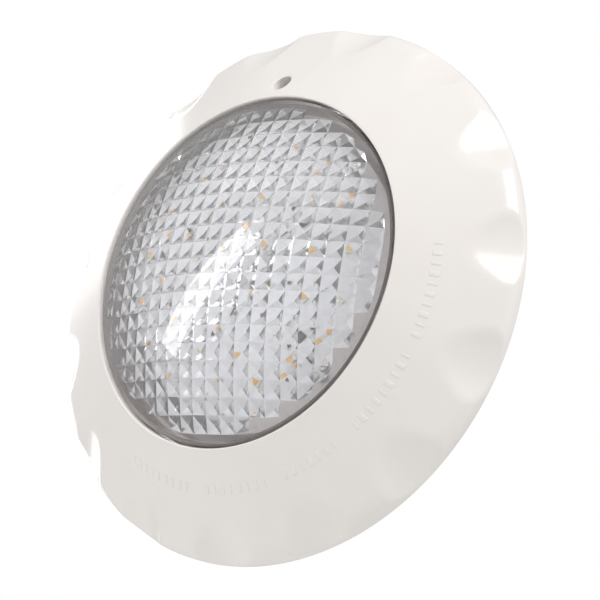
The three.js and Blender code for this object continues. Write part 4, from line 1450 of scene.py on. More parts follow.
@dataclass
class RearHousing:
    """The white moulded tub behind the lens, with its ears, hook bar, cable channel and gland pad."""

    back: float = 8.0
    wall: float = 2.5
    bowl: float = 91.0
    flange: float = 105.0
    flange_back: float = 21.4
    round: float = 3.0
    ear_circle: float = 112.0
    ear_angles: Tuple[float, ...] = (48.0, 144.0, 216.0, 312.0)
    ear_out: float = 14.0
    ear_thickness: float = 3.0
    ear_hole: float = 1.9
    clamp_circle: float = 101.3
    clamp_angles: Tuple[float, ...] = tuple((index + 0.5) * 45.0 for index in range(8))
    clamp_boss: float = 3.4
    post_circle: float = 74.0
    post_angles: Tuple[float, ...] = (45.0, 135.0, 225.0, 315.0)
    post_radius: float = 4.0
    screw_hole: float = 1.55
    driver_post: float = 3.2
    channel_width: float = 9.0
    channel_top: float = 16.0
    channel_start: float = 20.0
    gland_pad: float = 93.0
    gland_out: float = 14.7
    gland_bore: float = 4.35
    pad_radius: float = 6.5
    notch: float = 6.8
    nut_notch: float = 8.7
    bar_radius: float = 2.5
    bar_height: float = -122.0
    bar_out: float = 10.0
    arm_inner: float = 20.0
    arm_width: float = 4.0
    body: str = "lamp_unit"

    def __post_init__(self) -> None:
        """Reads the flange's front and the screw's height from the frame."""
        self.front = outs("lens_gasket")[0]
        self.screw_height = middle("ring_screw")[1]
        self.driver = middle("driver_board")
        self.driver_back = outs("driver_board")[0]
        self.plate_back = outs("heat_plate")[0]

    def bowl_profile(self) -> List[Pair]:
        """The tub and its flange, as (radius, out)."""
        back, floor, inner = self.back, self.back + self.wall, self.bowl - self.wall
        quarter = [math.radians(turn) for turn in range(0, 91, 15)]
        start = self.bowl - self.round
        outside = [(start + self.round * math.sin(a), back + self.round * (1 - math.cos(a))) for a in quarter]
        lip = [(self.bowl, self.flange_back - 1.0), (self.bowl + 0.3, self.flange_back - 0.3)]
        lip += [(self.bowl + 1.0, self.flange_back), (self.flange - 0.4, self.flange_back)]
        lip += [(self.flange, self.flange_back + 0.4), (self.flange, self.front - 0.4)]
        lip += [(self.flange - 0.4, self.front), (inner + 0.4, self.front), (inner, self.front - 0.4)]
        centre = inner - 2.0
        inside = [(centre + 2.0 * math.cos(a), floor + 2.0 * (1 - math.sin(a))) for a in quarter]
        groove = [(56.0, back), (56.3, back + 0.5), (57.7, back + 0.5), (58.0, back)]
        return [(0.0, back), *groove, *outside, *lip, *inside, (0.0, floor)]

    def ear(self, angle: float) -> Form:
        """One of the four ears that the face ring is screwed to."""
        root, half = self.bowl - 1.0, 7.0
        high = self.ear_out + self.ear_thickness
        arc = [math.radians(turn) for turn in range(90, -91, -10)]
        outline = [(-half, root), (-half, self.ear_circle)]
        outline += [(-half * math.sin(a), self.ear_circle + half * math.cos(a)) for a in arc[1:-1]]
        outline += [(half, self.ear_circle), (half, root)]
        arm = slab(outline, self.ear_out, high, 0.5)
        centre = (self.flange + root - 1) / 2
        rib = brick(3.0, self.flange - root - 1.0, self.ear_out + 1, self.flange_back + 1, 0, centre)
        return (arm + rib).turned(angle)

    def arm(self, x: float) -> Form:
        """One of the two arms that carry the hook bar."""
        eye, low, knee = self.bar_radius + 1.2, -self.flange + 6.0, self.bar_height + 13.8
        front = min(self.front, 25.0)
        outline = []
        for step in range(13):
            turn = math.pi + math.pi * step / 12
            outline.append((self.bar_out + eye * math.cos(turn), self.bar_height + eye * math.sin(turn)))
        outline += [(front, knee), (front, low), (self.flange_back - 6.0, low)]
        rows = [(0.4, x), (0.0, x + 0.4), (0.0, x + self.arm_width - 0.4), (0.4, x + self.arm_width)]
        form = Form([(side, -out, z) for (out, z), side in stacked(rows, outline)])
        count = len(outline)
        form.faces = [tuple(range(count)), tuple(range(4 * count - 1, 3 * count - 1, -1))]
        for row in range(len(rows) - 1):
            form.faces += ribbon(row * count, (row + 1) * count, count)
        return form

    def bar(self) -> Form:
        """The bar that drops into the bracket's channel."""
        reach = self.arm_inner + self.arm_width - 0.3
        form = rod(self.bar_radius, -reach, reach, 36)
        return form.across().moved(out=self.bar_out, z=self.bar_height)

    def added(self) -> List[Form]:
        """What is joined onto the tub."""
        floor = self.back + self.wall - 0.5
        forms = [self.ear(angle) for angle in self.ear_angles]
        clamps = spots(self.clamp_circle, self.clamp_angles)
        forms.append(posts(clamps, self.clamp_boss, self.flange_back - 4.0, self.flange_back + 0.5, 24))
        for angle in self.post_angles:
            x, z = spot(self.post_circle, angle)
            forms.append(rod(self.post_radius, floor, self.plate_back, 28).moved(x, 0, z))
            fin = brick(1.6, 12.0, floor, self.plate_back - 3.0, 0, self.post_circle + 7.0, 0.3)
            forms.append(fin.turned(angle))
        corners = [(x, self.driver[1] + z) for x in (-27.0, 27.0) for z in (-17.0, 17.0)]
        forms.append(posts(corners, self.driver_post, floor, self.driver_back, 24))
        start, end = self.wall - self.channel_start, 0.9 - self.bowl
        width, top = self.channel_width + 2 * self.wall, self.channel_top + self.wall
        forms.append(brick(start - end, width, self.back + 0.6, top, (start + end) / 2, 0, 0.5))
        pad = rod(self.pad_radius, self.bowl - self.wall - 0.5, self.gland_pad, 40, 0.3)
        forms.append(pad.across().moved(out=self.gland_out))
        for angle in range(15, 360, 30):
            if min(abs((angle - taken + 180) % 360 - 180) for taken in (*self.ear_angles, 90.0, 180.0)) > 12:
                forms.append(self.web(float(angle)))
        return forms + [self.arm(self.arm_inner), self.arm(-self.arm_inner - self.arm_width), self.bar()]

    def web(self, angle: float) -> Form:
        """A three-cornered rib between the tub's side and the flange."""
        low, high, top = self.bowl - 0.5, self.flange - 2.5, self.flange_back + 0.5
        corners = [(low, self.flange_back - 8.0), (low, top), (high, top)]
        form = Form([(side, -out, z) for side in (-0.8, 0.8) for z, out in corners])
        form.faces = [(0, 1, 2), (5, 4, 3), (0, 3, 4, 1), (1, 4, 5, 2), (2, 5, 3, 0)]
        return form.turned(angle)

    def taken(self) -> List[Form]:
        """What is cut out of the tub."""
        length, centre = self.bowl - self.channel_start + 10, -(self.bowl + self.channel_start) / 2 - 5
        forms = [brick(length, self.channel_width, 0, self.channel_top, centre)]
        low, high = self.flange_back - 6.0, self.front + 1.0
        forms.append(notched(self.notch, low, high, self.screw_height))
        forms.append(brick(40, 2 * self.nut_notch, low, high, 118.0))
        bore = rod(self.gland_bore, self.bowl - 8.0, self.gland_pad + 1, 32)
        forms.append(bore.across().moved(out=self.gland_out))
        clamps = spots(self.clamp_circle, self.clamp_angles)
        forms.append(posts(clamps, self.screw_hole, self.flange_back - 3.0, self.front + 1, 16))
        ears = spots(self.ear_circle, self.ear_angles)
        forms.append(posts(ears, self.ear_hole, 0.0, self.flange_back, 20))
        pillars = spots(self.post_circle, self.post_angles)
        forms.append(posts(pillars, self.screw_hole, self.plate_back - 6.5, self.front + 1, 16))
        forms.append(rod(2.2, self.back - 1, self.back + 0.5, 28))
        forms.append(posts(((40, 40), (40, -40)), 3.0, self.back - 1, self.back + 0.25, 28))
        forms.append(brick(38, 20, self.back - 1, self.back + 0.4, 0, 40.0))
        return forms

    def build(self) -> None:
        """The tub as one body."""
        made = mesh_of("housing_tub", lathe(self.bowl_profile(), 192))
        combined(made, Combine.JOIN, many(self.added()))
        combined(made, Combine.CUT, many(self.taken()))
        dressed(made, HOUSING_WHITE, self.body, ["rear_housing"], 30)


# ---- wall bracket


@dataclass
class WallBracket:
    """The plate on the wall, with the hook channel at its foot and the screw tower at its top."""

    thickness: float = 4.0
    rim: float = 2.0
    rim_width: float = 2.5
    disc: float = 60.0
    strap: float = 44.0
    tower_base: float = 8.5
    tower_top: float = 6.0
    gusset: float = 28.0
    slot_spacing: float = 68.0
    slot_radius: float = 2.75
    slot_length: float = 14.0
    cable_hole: float = 11.0
    cable_offset: float = 32.0
    bar_height: float = -122.0
    bar_out: float = 10.0
    channel: float = 3.0
    channel_wall: float = 2.5
    channel_half: float = 17.0
    insert_radius: float = 3.9
    insert_bore: float = 2.7
    body: str = "wall_bracket"

    def __post_init__(self) -> None:
        """Reads the screw's height and the tower's top from the frame."""
        self.screw_height = middle("ring_screw")[1]
        self.tower = outs("wall_plate")[1]
        self.insert_back, self.insert_front = outs("screw_insert")
        self.tip = outs("ring_screw")[0]

    def outline(self, shrink: float) -> List[Pair]:
        """The plate's outline, moved inwards by shrink."""
        radius, half = self.disc - shrink, self.strap / 2 - shrink
        top = self.screw_height + self.tower_base + 1 - shrink
        bottom = self.bar_height - self.channel - self.channel_wall + shrink
        meet = math.sqrt(radius**2 - half**2)
        corner = math.atan2(meet, half)
        made = []
        for share in np.linspace(0, 1, 10):
            x = (1 - share) ** 2 * half + 2 * share * (1 - share) * half + share**2 * half / 2
            z = (1 - share) ** 2 * (top - half / 2) + 2 * share * (1 - share) * top + share**2 * top
            made.append((x, z))
        made += [(-x, z) for x, z in reversed(made)]
        arc = np.linspace(-corner, corner, 49)
        made += [(-radius * math.cos(a), -radius * math.sin(a)) for a in arc]
        made += [(-half, bottom), (half, bottom)]
        made += [(radius * math.cos(a), radius * math.sin(a)) for a in arc]
        return [(float(x), float(z)) for x, z in made]

    def slot(self, x: float, z: float, grow: float, low: float, high: float) -> Form:
        """A slot with round ends."""
        half, radius = self.slot_length / 2 - self.slot_radius, self.slot_radius + grow
        arc = np.radians(np.linspace(-90, 90, 13))
        outline = [(x + half + radius * math.cos(a), z + radius * math.sin(a)) for a in arc]
        outline += [(x - half - radius * math.cos(a), z - radius * math.sin(a)) for a in arc]
        return slab(outline, low, high)

    def slots(self, grow: float, low: float, high: float) -> Form:
        """The four wall-screw slots."""
        half = self.slot_spacing / 2
        return many(self.slot(x, z, grow, low, high) for x in (-half, half) for z in (-half, half))

    def added(self) -> Form:
        """What stands on the plate."""
        front = self.thickness + self.rim
        base, neck, top = self.tower_base, self.tower_top, self.tower
        profile = [(0.0, 0.5), (base, 0.5), (base, front), (base - 1.2, front + 0.9), (neck, front + 3)]
        profile += [(neck, top - 0.4), (neck - 0.4, top), (0.0, top)]
        tower = lathe(profile, 56).moved(z=self.screw_height)
        gusset = brick(self.gusset, 2.5, self.thickness - 0.5, front + 6, 0, self.screw_height, 0.5)
        outer = self.channel + self.channel_wall
        bottom, width = self.bar_height - outer + 0.1, 2 * self.channel_half
        body = brick(width, outer - 0.1, 0.5, self.bar_out + outer, 0, bottom + outer / 2 - 0.05, 0.5)
        high = outer + self.channel
        rear = brick(width - 0.4, high, 0.7, self.bar_out - self.channel, 0, bottom + 0.2 + high / 2, 0.5)
        places = [(x, z) for x in (-14.0, 14.0) for z in (59.0, -79.0)]
        ribs = many(brick(2.0, 74.0, self.thickness - 0.5, front - 0.3, x, z, 0.4) for x, z in places)
        collar = rod(self.cable_hole + 2.2, self.thickness - 0.5, front - 0.3, 56).moved(-self.cable_offset)
        pads = self.slots(2.4, self.thickness - 0.5, self.thickness + 0.8)
        return tower + gusset + body + rear + ribs + collar + pads

    def taken(self) -> Form:
        """What is cut out of the plate."""
        front = self.thickness + self.rim
        bore = rod(self.channel, -self.channel_half - 1, self.channel_half + 1, 40)
        bore = bore.across().moved(out=self.bar_out, z=self.bar_height)
        seat = rod(self.insert_radius + 0.3, self.insert_back - 0.1, self.tower + 1, 36)
        tip = rod(self.insert_bore, self.tip - 2.0, self.tower, 28).moved(z=self.screw_height)
        cable = rod(self.cable_hole, -1, front + 1, 48).moved(-self.cable_offset)
        marks = posts([(x, z) for x in (-14.0, 14.0) for z in (62.0, -72.0)], 3.0, -1, 0.3, 28)
        recess = brick(30.0, 22.0, -1, 0.5, 0, 78.0, 0.3) + brick(30.0, 22.0, -1, 0.5, 0, -90.0, 0.3)
        seat = seat.moved(z=self.screw_height)
        return bore + seat + tip + cable + marks + recess + self.slots(0.0, -1, front + 1)

    def insert(self) -> None:
        """The knurled brass insert in the tower, with its thread."""
        rings = []
        sides, rows = 48, np.linspace(self.insert_back, self.insert_front, 25)
        for row, out in enumerate(rows):
            knurled = 0 < row < 24 and row not in (11, 12, 13)
            for step in range(sides):
                tooth = 0.22 * abs((step + (row % 2)) % 2) if knurled else 0.3
                rings.append((*spot(self.insert_radius - tooth, 360.0 * step / sides), out))
        for row, out in enumerate(reversed(rows)):
            for step in range(sides):
                phase = (float(out) / 0.8 - step / sides) % 1.0
                depth = 0.25 * abs(2 * phase - 1) if 1 < row < 23 else 0.3
                rings.append((*spot(self.insert_bore - 0.3 + depth, 360.0 * step / sides), out))
        form = Form([(x, -float(out), z) for x, z, out in rings])
        total = 2 * len(rows)
        for row in range(total):
            form.faces += ribbon(row * sides, ((row + 1) % total) * sides, sides)
        made = mesh_of("tower_insert", form.moved(z=self.screw_height))
        dressed(made, TURNED_BRASS, self.body, ["screw_insert"])

    def build(self) -> None:
        """The plate as one body, and its insert."""
        front = self.thickness + self.rim
        made = mesh_of("bracket_plate", slab(self.outline(0.0), 0.0, front, 0.4))
        combined(made, Combine.CUT, slab(self.outline(self.rim_width), self.thickness, front + 1))
        combined(made, Combine.JOIN, self.added())
        combined(made, Combine.CUT, self.taken())
        dressed(made, BRACKET_WHITE, self.body, ["wall_plate"], 30)
        self.insert()


# ---- seals, clamp and cable gland


@dataclass
class Sealing:
    """The gasket, the clamp ring and the screws that press the lens onto the housing and hold the ring."""

    clamp_circle: float = 101.3
    clamp_radius: float = 105.0
    clamp_inner: float = 93.2
    notch: float = 6.8
    hole: float = 1.7
    body: str = "lamp_unit"

    def gasket(self) -> None:
        """The grey gasket, with two sealing lips on each side."""
        low, high = outs("lens_gasket")
        outer = extent("lens_gasket")[1][0]
        inner, lip = outer - 4.0, 0.25
        waves = []
        for share in np.linspace(0, 1, 25):
            dip = lip * (0.5 + 0.5 * math.cos(4 * math.pi * share))
            waves.append((inner + 0.3 + (outer - inner - 0.6) * float(share), dip))
        profile = [(r, low + dip) for r, dip in waves] + [(outer, low + 0.6), (outer, high - 0.6)]
        profile += [(r, high - dip) for r, dip in reversed(waves)] + [(inner, high - 0.6), (inner, low + 0.6)]
        dressed(mesh_of("gasket_band", lathe(profile, 180)), GASKET_GREY, self.body, ["lens_gasket"])

    def clamp(self) -> None:
        """The pressed clamp ring, with its screw holes and its notch for the screw pocket."""
        low, high = outs("clamp_ring")
        profile = [(self.clamp_inner, low), (self.clamp_radius, low)]
        profile += [(self.clamp_radius, high), (self.clamp_inner, high)]
        made = mesh_of("clamp_band", lathe(rounded(profile, 0.4), 180))
        cuts = notched(self.notch, low - 1, high + 1, middle("ring_screw")[1])
        places = spots(self.clamp_circle, [(index + 0.5) * 45.0 for index in range(8)])
        combined(made, Combine.CUT, cuts + posts(places, self.hole, low - 1, high + 1, 20))
        dressed(made, PRESSED_STEEL, self.body, ["clamp_ring"])

    def build(self) -> None:
        """The gasket, the clamp and both sets of screws."""
        self.gasket()
        self.clamp()
        Screw(1.4, 2.9, 2.0, 8.0).stand(numbered("clamp_screw", 8), STAINLESS, self.body)
        fixing = numbered("ring_fixing_screw", 4)
        Screw(1.6, 3.2, 2.2, 12.0, 0.8).stand(fixing, STAINLESS, self.body, True)


@dataclass
class Gland:
    """The cable gland on the housing's right side."""

    out: float = 14.7
    cable: float = 3.3
    thread: float = 4.2
    collar: float = 6.2
    tube: float = 5.3
    seal_wall: float = 1.1
    flats: float = 14.0
    inner_end: float = 88.8
    collar_start: float = 94.0
    collar_end: float = 98.0
    tube_end: float = 107.0
    nut_start: float = 98.3
    nut_end: float = 109.3
    body: str = "lamp_unit"

    def along(self, form: Form) -> Form:
        """A form made round the lamp's axis, laid along the gland's."""
        return form.across().moved(out=self.out)

    def body_piece(self) -> None:
        """The threaded body with its collar."""
        start, low, high, end = self.inner_end, self.collar_start, self.collar_end, self.tube_end
        profile = [(self.cable, start), (self.thread - 0.4, start), (self.thread, start + 0.4)]
        for step in range(1, 8):
            out = start + 0.4 + 0.6 * step
            profile += [(self.thread, out - 0.3), (self.thread - 0.35, out)]
        profile += [(self.thread, low), (self.collar - 0.3, low), (self.collar, low + 0.3)]
        profile += [(self.collar, high - 0.3), (self.collar - 0.3, high), (self.tube, high)]
        for step in range(1, 11):
            profile += [(self.tube, high + 0.8 * step - 0.4), (self.tube - 0.35, high + 0.8 * step)]
        wide = self.cable + self.seal_wall + 0.15
        profile += [(self.tube - 0.3, end), (wide, end), (wide, end - 6.0), (self.cable, end - 7.0)]
        dressed(mesh_of("gland_thread", self.along(lathe(profile, 64))), NYLON, self.body, ["gland_body"])

    def rubber(self) -> None:
        """The O-ring under the collar and the seal round the cable's place."""
        inner, outer = self.thread + 0.3, self.collar - 0.3
        middle_radius, half = (inner + outer) / 2, (outer - inner) / 2
        section = []
        for step in range(16):
            turn = 2 * math.pi * step / 16
            out = self.collar_start - 0.5 + 0.5 * math.sin(turn)
            section.append((middle_radius + half * math.cos(turn), out))
        ring = mesh_of("gland_ring", self.along(lathe(section, 64)))
        dressed(ring, SEAL_BLACK, self.body, ["gland_o_ring"])
        low, high = extent("gland_seal")[0][0], extent("gland_seal")[1][0]
        wide = self.cable + self.seal_wall - 0.05
        profile = [(self.cable, low + 0.2), (self.cable + 0.2, low), (wide, low), (wide, high - 1.2)]
        profile += [(wide - 0.4, high), (self.cable + 0.2, high)]
        for step in range(5, 0, -1):
            profile += [(self.cable, low + 1.1 * step), (self.cable + 0.25, low + 1.1 * step - 0.45)]
        dressed(mesh_of("gland_bush", self.along(lathe(profile, 48))), SEAL_BLACK, self.body, ["gland_seal"])

    def nut(self) -> None:
        """The hexagon cap nut with its domed end."""
        reach = self.flats / math.sqrt(3)
        split = self.nut_start + 0.72 * (self.nut_end - self.nut_start)
        hexagon = slab([spot(reach, 60.0 * side) for side in range(6)], self.nut_start - 1, split + 1)
        wide = reach + 0.05
        chamfer = [(0.0, self.nut_start), (reach - 0.8, self.nut_start), (wide, self.nut_start + 0.85)]
        chamfer += [(wide, split - 0.95), (reach - 0.9, split), (0.0, split)]
        made = mesh_of("gland_cap", self.along(hexagon))
        combined(made, Combine.KEEP, self.along(lathe(chamfer, 72)))
        half = self.flats / 2
        dome = [(0.0, split - 0.6), (half - 0.1, split - 0.6), (half - 0.2, split + 0.5)]
        dome += [(half - 0.7, self.nut_end - 0.9), (half - 1.6, self.nut_end - 0.1)]
        dome += [(half - 2.2, self.nut_end), (0.0, self.nut_end)]
        combined(made, Combine.JOIN, self.along(lathe(dome, 72)))
        inside = self.tube + 0.15
        bore = [(0.0, self.nut_start - 1), (inside, self.nut_start - 1), (inside, self.nut_end - 1.4)]
        bore += [(self.cable + 0.2, self.nut_end - 0.8)]
        bore += [(self.cable + 0.2, self.nut_end + 1), (0.0, self.nut_end + 1)]
        combined(made, Combine.CUT, self.along(lathe(bore, 56)))
        dressed(made, NYLON, self.body, ["gland_nut"])

    def build(self) -> None:
        """All of the gland's pieces."""
        self.body_piece()
        self.rubber()
        self.nut()


# ---- boards inside the housing


@dataclass
class HeatSpreader:
    """The aluminium disc under the LED board, and the screws that hold both."""

    radius: float = 82.0
    hole: float = 5.0
    screw_hole: float = 1.7
    body: str = "lamp_unit"

    def build(self) -> None:
        """The disc with its holes, and the four screws."""
        low, high = outs("heat_plate")
        profile = [(0.0, low), (self.radius, low), (self.radius, high), (0.0, high)]
        made = mesh_of("heat_disc", lathe(rounded(profile, 0.3), 144))
        names = numbered("board_screw", 4)
        holes = posts(map(middle, names), self.screw_hole, low - 1, high + 1, 20)
        combined(made, Combine.CUT, holes + rod(self.hole, low - 1, high + 1, 40))
        dressed(made, MILL_ALUMINIUM, self.body, ["heat_plate"])
        Screw(1.4, 2.8, 1.8, 9.0).stand(names, STAINLESS, self.body)


@dataclass
class DriverBoard:
    """The green supply board in the housing's floor, with its coil, capacitors, rectifier and terminals."""

    width: float = 64.0
    height: float = 44.0
    below: float = 40.0
    coil_radius: float = 7.5
    coil_hole: float = 3.0
    turns: int = 26
    inset: float = 5.0
    screw_hole: float = 1.3
    wire_radius: float = 0.85
    strand_radius: float = 0.35
    body: str = "lamp_unit"

    def __post_init__(self) -> None:
        """Reads the board's place from the frame."""
        self.back, self.face = outs("driver_board")

    def panel(self) -> None:
        """The board, with its small parts standing on it."""
        half, bottom, top = self.width / 2, -self.below - self.height / 2, -self.below + self.height / 2
        outline = softened_outline(rectangle(-half, half, bottom, top), 2.0, 5)
        made = mesh_of("driver_panel", slab(outline, self.back, self.face, 0.12))
        across = (self.inset - half, half - self.inset)
        places = [(x, z) for x in across for z in (bottom + self.inset, top - self.inset)]
        combined(made, Combine.CUT, posts(places, self.screw_hole, self.back - 1, self.face + 1, 18))
        dressed(made, BOARD_GREEN, self.body, ["driver_board"])
        chips = brick(6.0, 5.0, self.face + 0.15, self.face + 1.7, -20.0, -24.5, 0.2)
        chips = chips + brick(1.8, 1.2, self.face, self.face + 0.6, -11.0, -24.0, 0.08)
        chips = chips + brick(1.8, 1.2, self.face, self.face + 0.6, -11.0, -27.0, 0.08)
        chips = chips + brick(3.6, 2.6, self.face, self.face + 1.2, 27.0, -34.0, 0.15)
        dressed(mesh_of("driver_chips", chips), CHIP_BLACK, self.body)

    def coil(self) -> None:
        """The ferrite ring with its copper winding, side by side turns all the way round."""
        low, high = outs("driver_coil")
        x, z = middle("driver_coil")
        wire = self.strand_radius
        inner, outer = self.coil_hole + 2 * wire + 0.1, self.coil_radius - 2 * wire - 0.1
        profile = [(inner, low + 0.9), (outer, low + 0.9), (outer, high - 0.9), (inner, high - 0.9)]
        core = mesh_of("coil_core", lathe(rounded(profile, 0.6), 48).moved(x, 0, z))
        dressed(core, FERRITE, self.body)
        centre, across = (inner + outer) / 2, (outer - inner) / 2 + wire + 0.04
        rise, mid = (high - low) / 2 - wire - 0.02, (low + high) / 2
        path = []
        steps = 16
        for step in range(self.turns * steps):
            turn = 2 * math.pi * step / steps
            soft = (abs(math.cos(turn)) ** 4 + abs(math.sin(turn)) ** 4) ** 0.25
            radius = centre + across * math.cos(turn) / soft
            out = mid + rise * math.sin(turn) / soft
            angle = 330.0 * step / (self.turns * steps)
            px, pz = spot(radius, angle)
            path.append((px, -out, pz))
        winding = sweep(path, wire, 8).moved(x, 0, z)
        dressed(mesh_of("coil_winding", winding), COPPER_WIRE, self.body, ["driver_coil"])

    def capacitors(self) -> None:
        """The two capacitors, lying down, with their crimp and sleeve."""
        for index in (1, 2):
            node = f"driver_capacitor_{index}"
            low, high = extent(node)
            side, length = (high[2] - low[2]) / 2 - 0.05, high[0] - low[0]
            profile = [(0.0, 0.0), (side - 0.45, 0.0), (side, 0.4), (side, 1.1), (side - 0.4, 1.5)]
            profile += [(side, 1.9), (side, length - 0.5), (side - 0.45, length)]
            profile += [(side - 0.65, length - 0.15), (0.0, length - 0.15)]
            form = lathe(profile, 40).across()
            place = (low[0], -(low[1] + high[1]) / 2, (low[2] + high[2]) / 2)
            dressed(mesh_of(f"capacitor_{index}_can", form.moved(*place)), CHIP_BLACK, self.body, [node])

    def rectifier(self) -> None:
        """The bridge rectifier, with a chamfered body and four flat legs."""
        low, high = extent("rectifier")
        near, far = outs("rectifier")
        x, z = middle("rectifier")
        left, right, bottom, top = low[0], high[0], low[2], high[2]
        corners = [(left, bottom), (right, bottom), (right, top - 1.5), (right - 1.5, top), (left, top)]
        made = mesh_of("rectifier_body", slab(corners, near + 0.3, far, 0.25))
        dressed(made, CHIP_BLACK, self.body, ["rectifier"])
        legs = many(
            brick(0.8, 1.6, near - 0.08, near + 0.4, x + column * 2.4, z + side * (top - z + 0.5), 0.06)
            for column in (-1, 1)
            for side in (-1, 1)
        )
        dressed(mesh_of("rectifier_legs", legs), TINNED, self.body)

    def terminals(self) -> None:
        """The two-way terminal block, with its screws and wire holes."""
        low, high = extent("terminal_block")
        near, far = outs("terminal_block")
        x, z = middle("terminal_block")
        made = mesh_of("terminal_shell", brick(high[0] - low[0], high[2] - low[2], near, far, x, z, 0.35))
        cuts, screws = Form(), Form()
        for side in (-1, 1):
            place = (x + side * 3.6, 0, z)
            cuts = cuts + rod(2.0, far - 2.2, far + 1, 28).moved(*place)
            cuts = cuts + brick(3.0, 3.0, near + 0.8, near + 3.2, x + side * 3.6, low[2] - 0.2)
            screws = screws + rod(1.85, far - 2.2, far - 1.0, 28, 0.2).moved(*place)
        combined(made, Combine.CUT, cuts)
        dressed(made, TERMINAL_GREEN, self.body, ["terminal_block"])
        heads = mesh_of("terminal_screws", screws)
        slots = many(brick(3.0, 0.5, far - 1.5, far, x + side * 3.6, z) for side in (-1, 1))
        dressed(combined(heads, Combine.CUT, slots), TINNED, self.body)

    def leads(self) -> None:
        """The red and black wires up to the LED board."""
        plate_back, plate_front = outs("heat_plate")
        led_face = plate_front + 1.65
        start = -self.below + self.height / 2 - 3
        for node, side, finish in (("lead_positive", 1, WIRE_RED), ("lead_negative", -1, WIRE_BLACK)):
            x = (extent(node)[0][0] if side < 0 else extent(node)[1][0]) - side * 0.9
            base = x / 2.2
            knots = [
                (base, self.face + 1.2, start),
                (base, self.face + 1.5, start + 6),
                (base, plate_back - 0.5, -1.6),
                (base, led_face + 1.6, 0.6),
                (base * 1.6, led_face + 2.6, 4.5),
                (base * 2.2, led_face + 1.2, 9.5),
            ]
            path = self.smooth_path([(px, -out, pz) for px, out, pz in knots])
            wire = mesh_of(node + "_insulation", sweep(path, self.wire_radius, 16))
            dressed(wire, finish, self.body, [node])

    @staticmethod
    def smooth_path(knots: Sequence[Point], steps: int = 10) -> List[Point]:
        """A smooth path through the knots."""
        points = [Vector(knot) for knot in knots]
        ends = [2 * points[0] - points[1], *points, 2 * points[-1] - points[-2]]
        path = []
        for index in range(1, len(ends) - 2):
            a, b, c, d = ends[index - 1 : index + 3]
            for step in range(steps):
                t = step / steps
                bend, twist = 2 * a - 5 * b + 4 * c - d, 3 * b - a - 3 * c + d
                path.append(tuple(0.5 * (2 * b + (c - a) * t + bend * t**2 + twist * t**3)))
        return [*path, tuple(points[-1])]

    def build(self) -> None:
        """The board and all that stands on it."""
        self.panel()
        self.coil()
        self.capacitors()
        self.rectifier()
        self.terminals()
        self.leads()


@dataclass
class RetainingScrew:
    """The long screw at the top that holds the lamp to the bracket, with its washer."""

    radius: float = 2.1
    head_radius: float = 4.2
    head_height: float = 3.1
    pitch: float = 0.8

    def build(self) -> None:
        """The washer and the screw, each on its own body."""
        low, high = outs("ring_screw_washer")
        outer, hole = extent("ring_screw_washer")[1][0], self.radius + 0.3
        profile = [(hole, low), (outer, low), (outer, high), (hole, high)]
        washer = lathe(rounded(profile, 0.25), 64).moved(z=middle("ring_screw")[1])
        dressed(mesh_of("retaining_washer", washer), NYLON, "screw_slide", ["ring_screw_washer"])
        near, far = outs("ring_screw")
        length = far - self.head_height - near
        screw = Screw(self.radius, self.head_radius, self.head_height, length, self.pitch)
        screw.stand(["ring_screw"], STAINLESS, "screw_spin")


# ---- studio


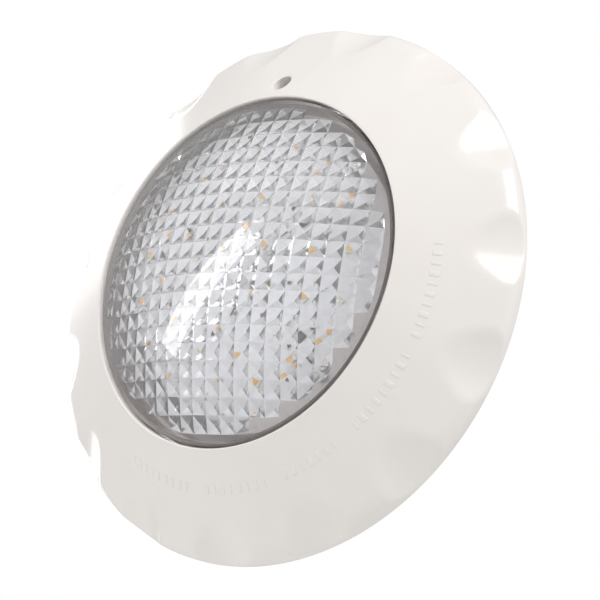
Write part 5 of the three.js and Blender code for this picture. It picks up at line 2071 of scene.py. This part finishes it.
@dataclass
class Studio:
    """The pale floor, the soft lights and the camera."""

    floor_size: float = 9000.0
    floor_drop: float = 620.0
    ambient: float = 0.65
    focal: float = 108.0
    place: Point = (575.6, -702.9, -246.7)
    right: Point = (0.7946, 0.5829, 0.1697)
    up: Point = (0.0243, -0.3098, 0.9505)

    def floor(self) -> None:
        """The floor, far below the lamp."""
        size, low = self.floor_size, -self.floor_drop
        corners = [(x, y, low) for x, y in rectangle(-size, size, -size, size)]
        made = mesh_of("floor", Form(corners, [(0, 1, 2, 3)]))
        made.data.materials.append(Paint("floor_paint", "").material())

    def world(self, strength: float) -> None:
        """The even surroundings: white where the camera sees them, and softer as light."""
        world = bpy.data.worlds.new("studio")
        bpy.context.scene.world = world
        world.use_nodes = True
        tree = world.node_tree
        around, backdrop = tree.nodes["Background"], tree.nodes.new("ShaderNodeBackground")
        for made, colour, power in (
            (around, (1.0, 0.99, 0.975, 1.0), strength),
            (backdrop, (1.0, 1.0, 1.0, 1.0), 1.0),
        ):
            made.inputs["Color"].default_value, made.inputs["Strength"].default_value = colour, power
        ray, mix = tree.nodes.new("ShaderNodeLightPath"), tree.nodes.new("ShaderNodeMixShader")
        for index, end in enumerate((ray.outputs["Is Camera Ray"], around.outputs[0], backdrop.outputs[0])):
            tree.links.new(end, mix.inputs[index])
        tree.links.new(mix.outputs[0], tree.nodes["World Output"].inputs["Surface"])

    def lamp(self, name: str, place: Point, along: Point, size: Pair, power: float, colour: Colour) -> None:
        """A rectangular soft light that faces the middle of the lens.

        Args:
            name: The light's name.
            place: Where it stands.
            along: The direction of its longer side.
            size: Its width and length.
            power: Its power in watts.
            colour: Its colour.
        """
        data = bpy.data.lights.new(name, "AREA")
        data.shape, data.size, data.size_y = "RECTANGLE", size[0] * MM, size[1] * MM
        data.energy, data.color = power, colour
        made = bpy.data.objects.new(name, data)
        back = Vector(place).normalized()
        across = Vector(along).cross(back).normalized()
        turn = Matrix((across, back.cross(across), back)).transposed().to_4x4()
        made.matrix_world = Matrix.Translation(Vector(place) * MM) @ turn
        bpy.context.scene.collection.objects.link(made)

    def camera(self) -> None:
        """The camera, below and to the right of the lamp, turned a little about its own axis."""
        data = bpy.data.cameras.new("camera")
        data.lens, data.sensor_width, data.clip_end = self.focal, 36.0, 50.0
        made = bpy.data.objects.new("camera", data)
        right, up = Vector(self.right).normalized(), Vector(self.up)
        back = right.cross(up).normalized()
        up = back.cross(right)
        turn = Matrix((right, up, back)).transposed().to_4x4()
        made.matrix_world = Matrix.Translation(Vector(self.place) * MM) @ turn
        bpy.context.scene.collection.objects.link(made)
        bpy.context.scene.camera = made

    def build(self) -> None:
        """The whole studio."""
        self.camera()
        self.floor()
        self.world(self.ambient)
        self.lamp("strip", (-800, -900, 170), (-0.56, 0.34, -0.76), (170, 790), 2.6, (1.0, 1.0, 1.0))
        self.lamp("key", (1000, -350, 1050), (1, 1, 0), (900, 900), 10.0, (1.0, 0.98, 0.965))
        self.lamp("rim", (-1300, 500, 300), (0, 0, 1), (500, 1200), 2.4, (1.0, 0.99, 0.98))


def main() -> None:
    """Builds the studio and then each sub-assembly."""
    logging.basicConfig(level=logging.INFO, format="%(message)s")
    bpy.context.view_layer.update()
    bpy.context.scene.view_settings.view_transform = "Standard"
    Studio().build()
    ring = FaceRing()
    ring.build()
    ring.marks()
    PrismLens().build()
    LedBoard().build()
    HeatSpreader().build()
    DriverBoard().build()
    RearHousing().build()
    Sealing().build()
    Gland().build()
    WallBracket().build()
    RetainingScrew().build()
    bpy.context.view_layer.update()


if __name__ == "__main__":
    main()
